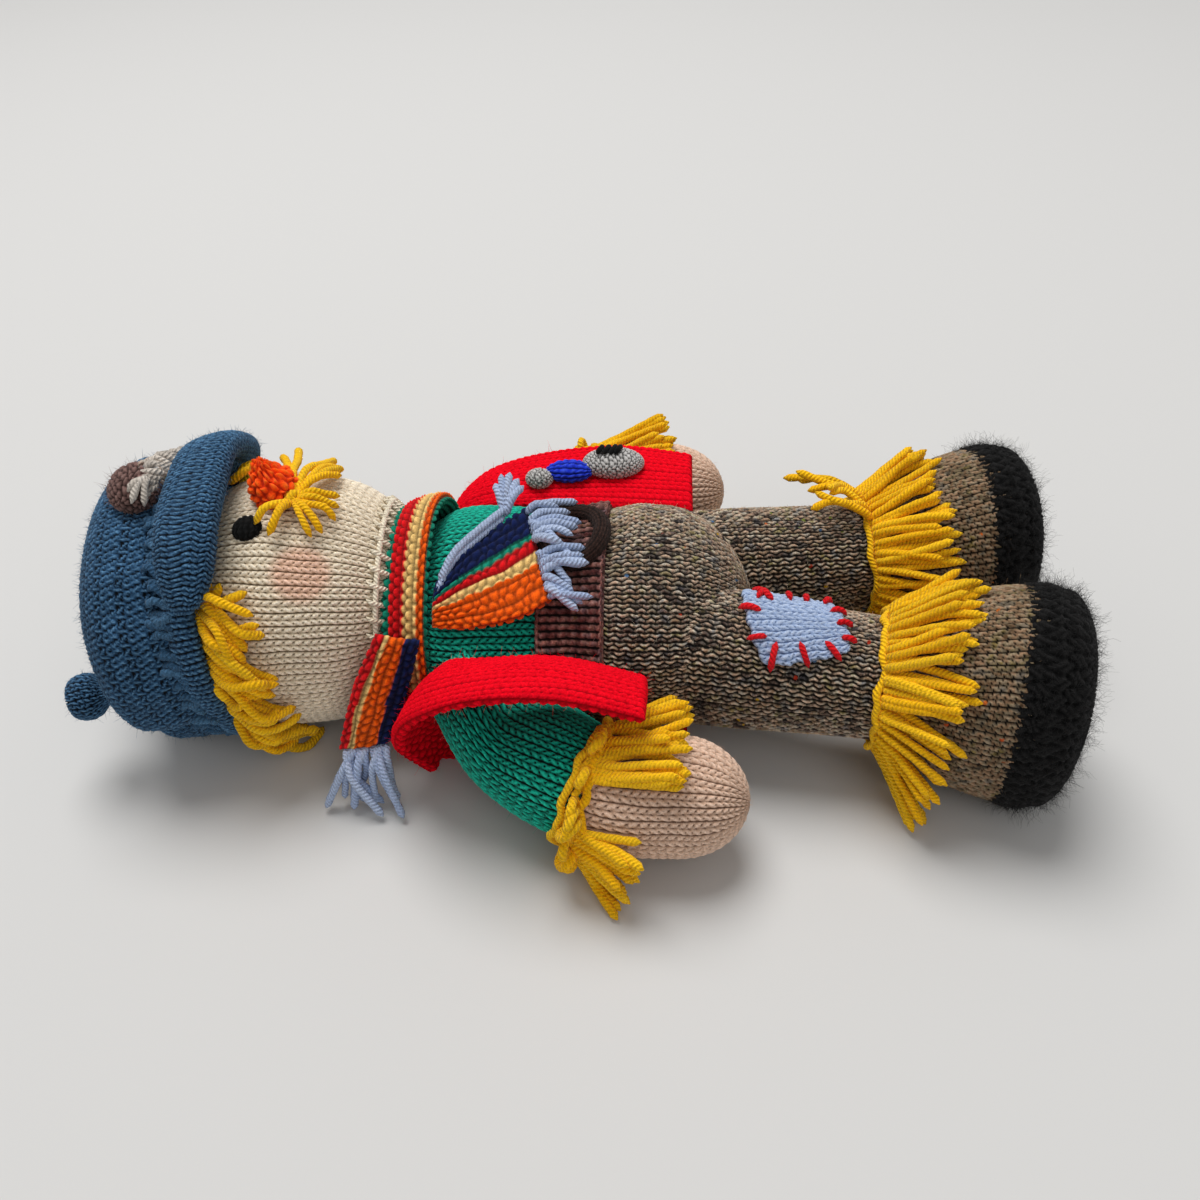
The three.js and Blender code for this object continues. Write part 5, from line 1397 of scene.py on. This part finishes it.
side_tail = cloth("scarf_side_tail_knit", side, TAIL_STITCH, 1.3, TAIL_FINE, scarf_wool, "side_tail",
                  ["scarf_side_tail"], sideways(purl_stitch), side_colours)
paths = []
for k in range(15):
    t = k / 14
    root = np.array([-71.5 - 15 * t, -52, 25.5 - 3 * t])
    reach = 9 + 4 * random.normal()
    end = root + (-3 + 8 * random.normal(), -abs(reach) * 0.9, 2.0 - root[2] + abs(random.normal()))
    middle = (root + end) / 2 + (2 * random.normal(), -3, 3)
    paths.append([root, root * 0.5 + middle * 0.5 + (0, -1.5, 1.5), middle, end])
side_tassels = lay("scarf_side_tassels", paths, 2.7, sky_yarn, "side_tail", ["side_tassels"])

# Loose fibres over the wool: how many and how long in mm

for name, count, long in (
        ("hat_crown_knit", 7000, 2.6), ("hat_peak_knit", 1600, 2.6), ("hat_rim_knit", 1000, 2.6),
        ("hat_knob_knit", 150, 2.6), ("hat_pad_knit", 260, 3.0), ("head_knit", 900, 2.0),
        ("jumper", 500, 2.4), ("right_sleeve_knit", 500, 2.4), ("left_sleeve_knit", 300, 2.4),
        ("right_hand_knit", 350, 1.8), ("left_hand_knit", 250, 1.8), ("right_waistcoat_front", 900, 3.2),
        ("left_waistcoat_front", 900, 3.2), ("trouser_seat_knit", 900, 3.0), ("right_leg_knit", 700, 3.0),
        ("left_leg_knit", 700, 3.0), ("right_boot_knit", 500, 2.6), ("left_boot_knit", 500, 2.6),
        ("belt_knit", 500, 2.4), ("buckle_ring", 700, 3.4)):
    halo(name, count, long)


# Camera, floor and light

SENSOR_WIDTH, FOCAL_PIXELS, PHOTO_PIXELS = 36, 1130, 1200
LOOKED_AT, EYE_DISTANCE = np.array([-0.8, 19.7, 30.0]), 440


def look():
    """The camera at the photograph's viewing angle."""
    tilt, yaw, roll = (math.radians(angle) for angle in (40, 5, -3))
    back = np.array([math.sin(yaw) * math.cos(tilt), -math.cos(yaw) * math.cos(tilt), math.sin(tilt)])
    place = LOOKED_AT + back * EYE_DISTANCE
    right = unit(np.cross(-back, [0, 0, 1.0]))
    up = np.cross(right, -back)
    right, up = (right * math.cos(roll) + up * math.sin(roll),
                 up * math.cos(roll) - right * math.sin(roll))
    bpy.ops.object.camera_add()
    camera = bpy.context.object
    matrix = np.eye(4)
    matrix[:3] = np.stack([right, up, back, place * MM], -1)
    camera.matrix_world = Matrix(matrix.tolist())
    camera.data.sensor_fit = "HORIZONTAL"
    camera.data.sensor_width = SENSOR_WIDTH
    camera.data.lens = SENSOR_WIDTH * FOCAL_PIXELS / PHOTO_PIXELS
    camera.data.clip_start = 0.01
    bpy.context.scene.camera = camera


look()
bpy.ops.object.select_all(action="DESELECT")
bpy.ops.mesh.primitive_plane_add(size=9)
floor = bpy.context.object
floor.name = "floor"
# Floor: matt white paper without a reflection
paper = bpy.data.materials.new("matt_white_paper")
paper.use_nodes = True
feed(paper.node_tree, paper.node_tree.nodes["Principled BSDF"],
     {"Base Color": linear("#d2d1cf"), "Roughness": 0.8, "Specular IOR Level": 0.1})
floor.data.materials.append(paper)


def softbox(name, place, aim, size, watts):
    """A round soft lamp, in metres."""
    bpy.ops.object.light_add(type="AREA")
    lamp = bpy.context.object
    lamp.name = name
    lamp.data.shape = "DISK"
    lamp.data.size = size
    lamp.data.energy = watts
    lamp.location = place
    lamp.rotation_euler = (Vector(aim) - Vector(place)).to_track_quat("-Z", "Y").to_euler()


softbox("softbox_top", (-0.4, 0.7, 2.6), (0, 0, 0), 1.8, 60)
softbox("softbox_front", (1.0, -2.0, 2.0), (0, 0, 0), 1.8, 10.4)
world = bpy.data.worlds.new("studio")
bpy.context.scene.world = world
world.use_nodes = True
# The room is brighter to the camera and in reflections than as a light
ray = add(world.node_tree, "LightPath")
seen = add(world.node_tree, "Math", {0: ray.outputs["Is Camera Ray"], 1: ray.outputs["Is Glossy Ray"]},
           operation="MAXIMUM")
level = add(world.node_tree, "MapRange", {"Value": seen, "To Min": 0.33, "To Max": 0.7})
feed(world.node_tree, world.node_tree.nodes["Background"], {"Color": (1, 1, 1, 1), "Strength": level})
bpy.context.scene.view_settings.view_transform = "Standard"
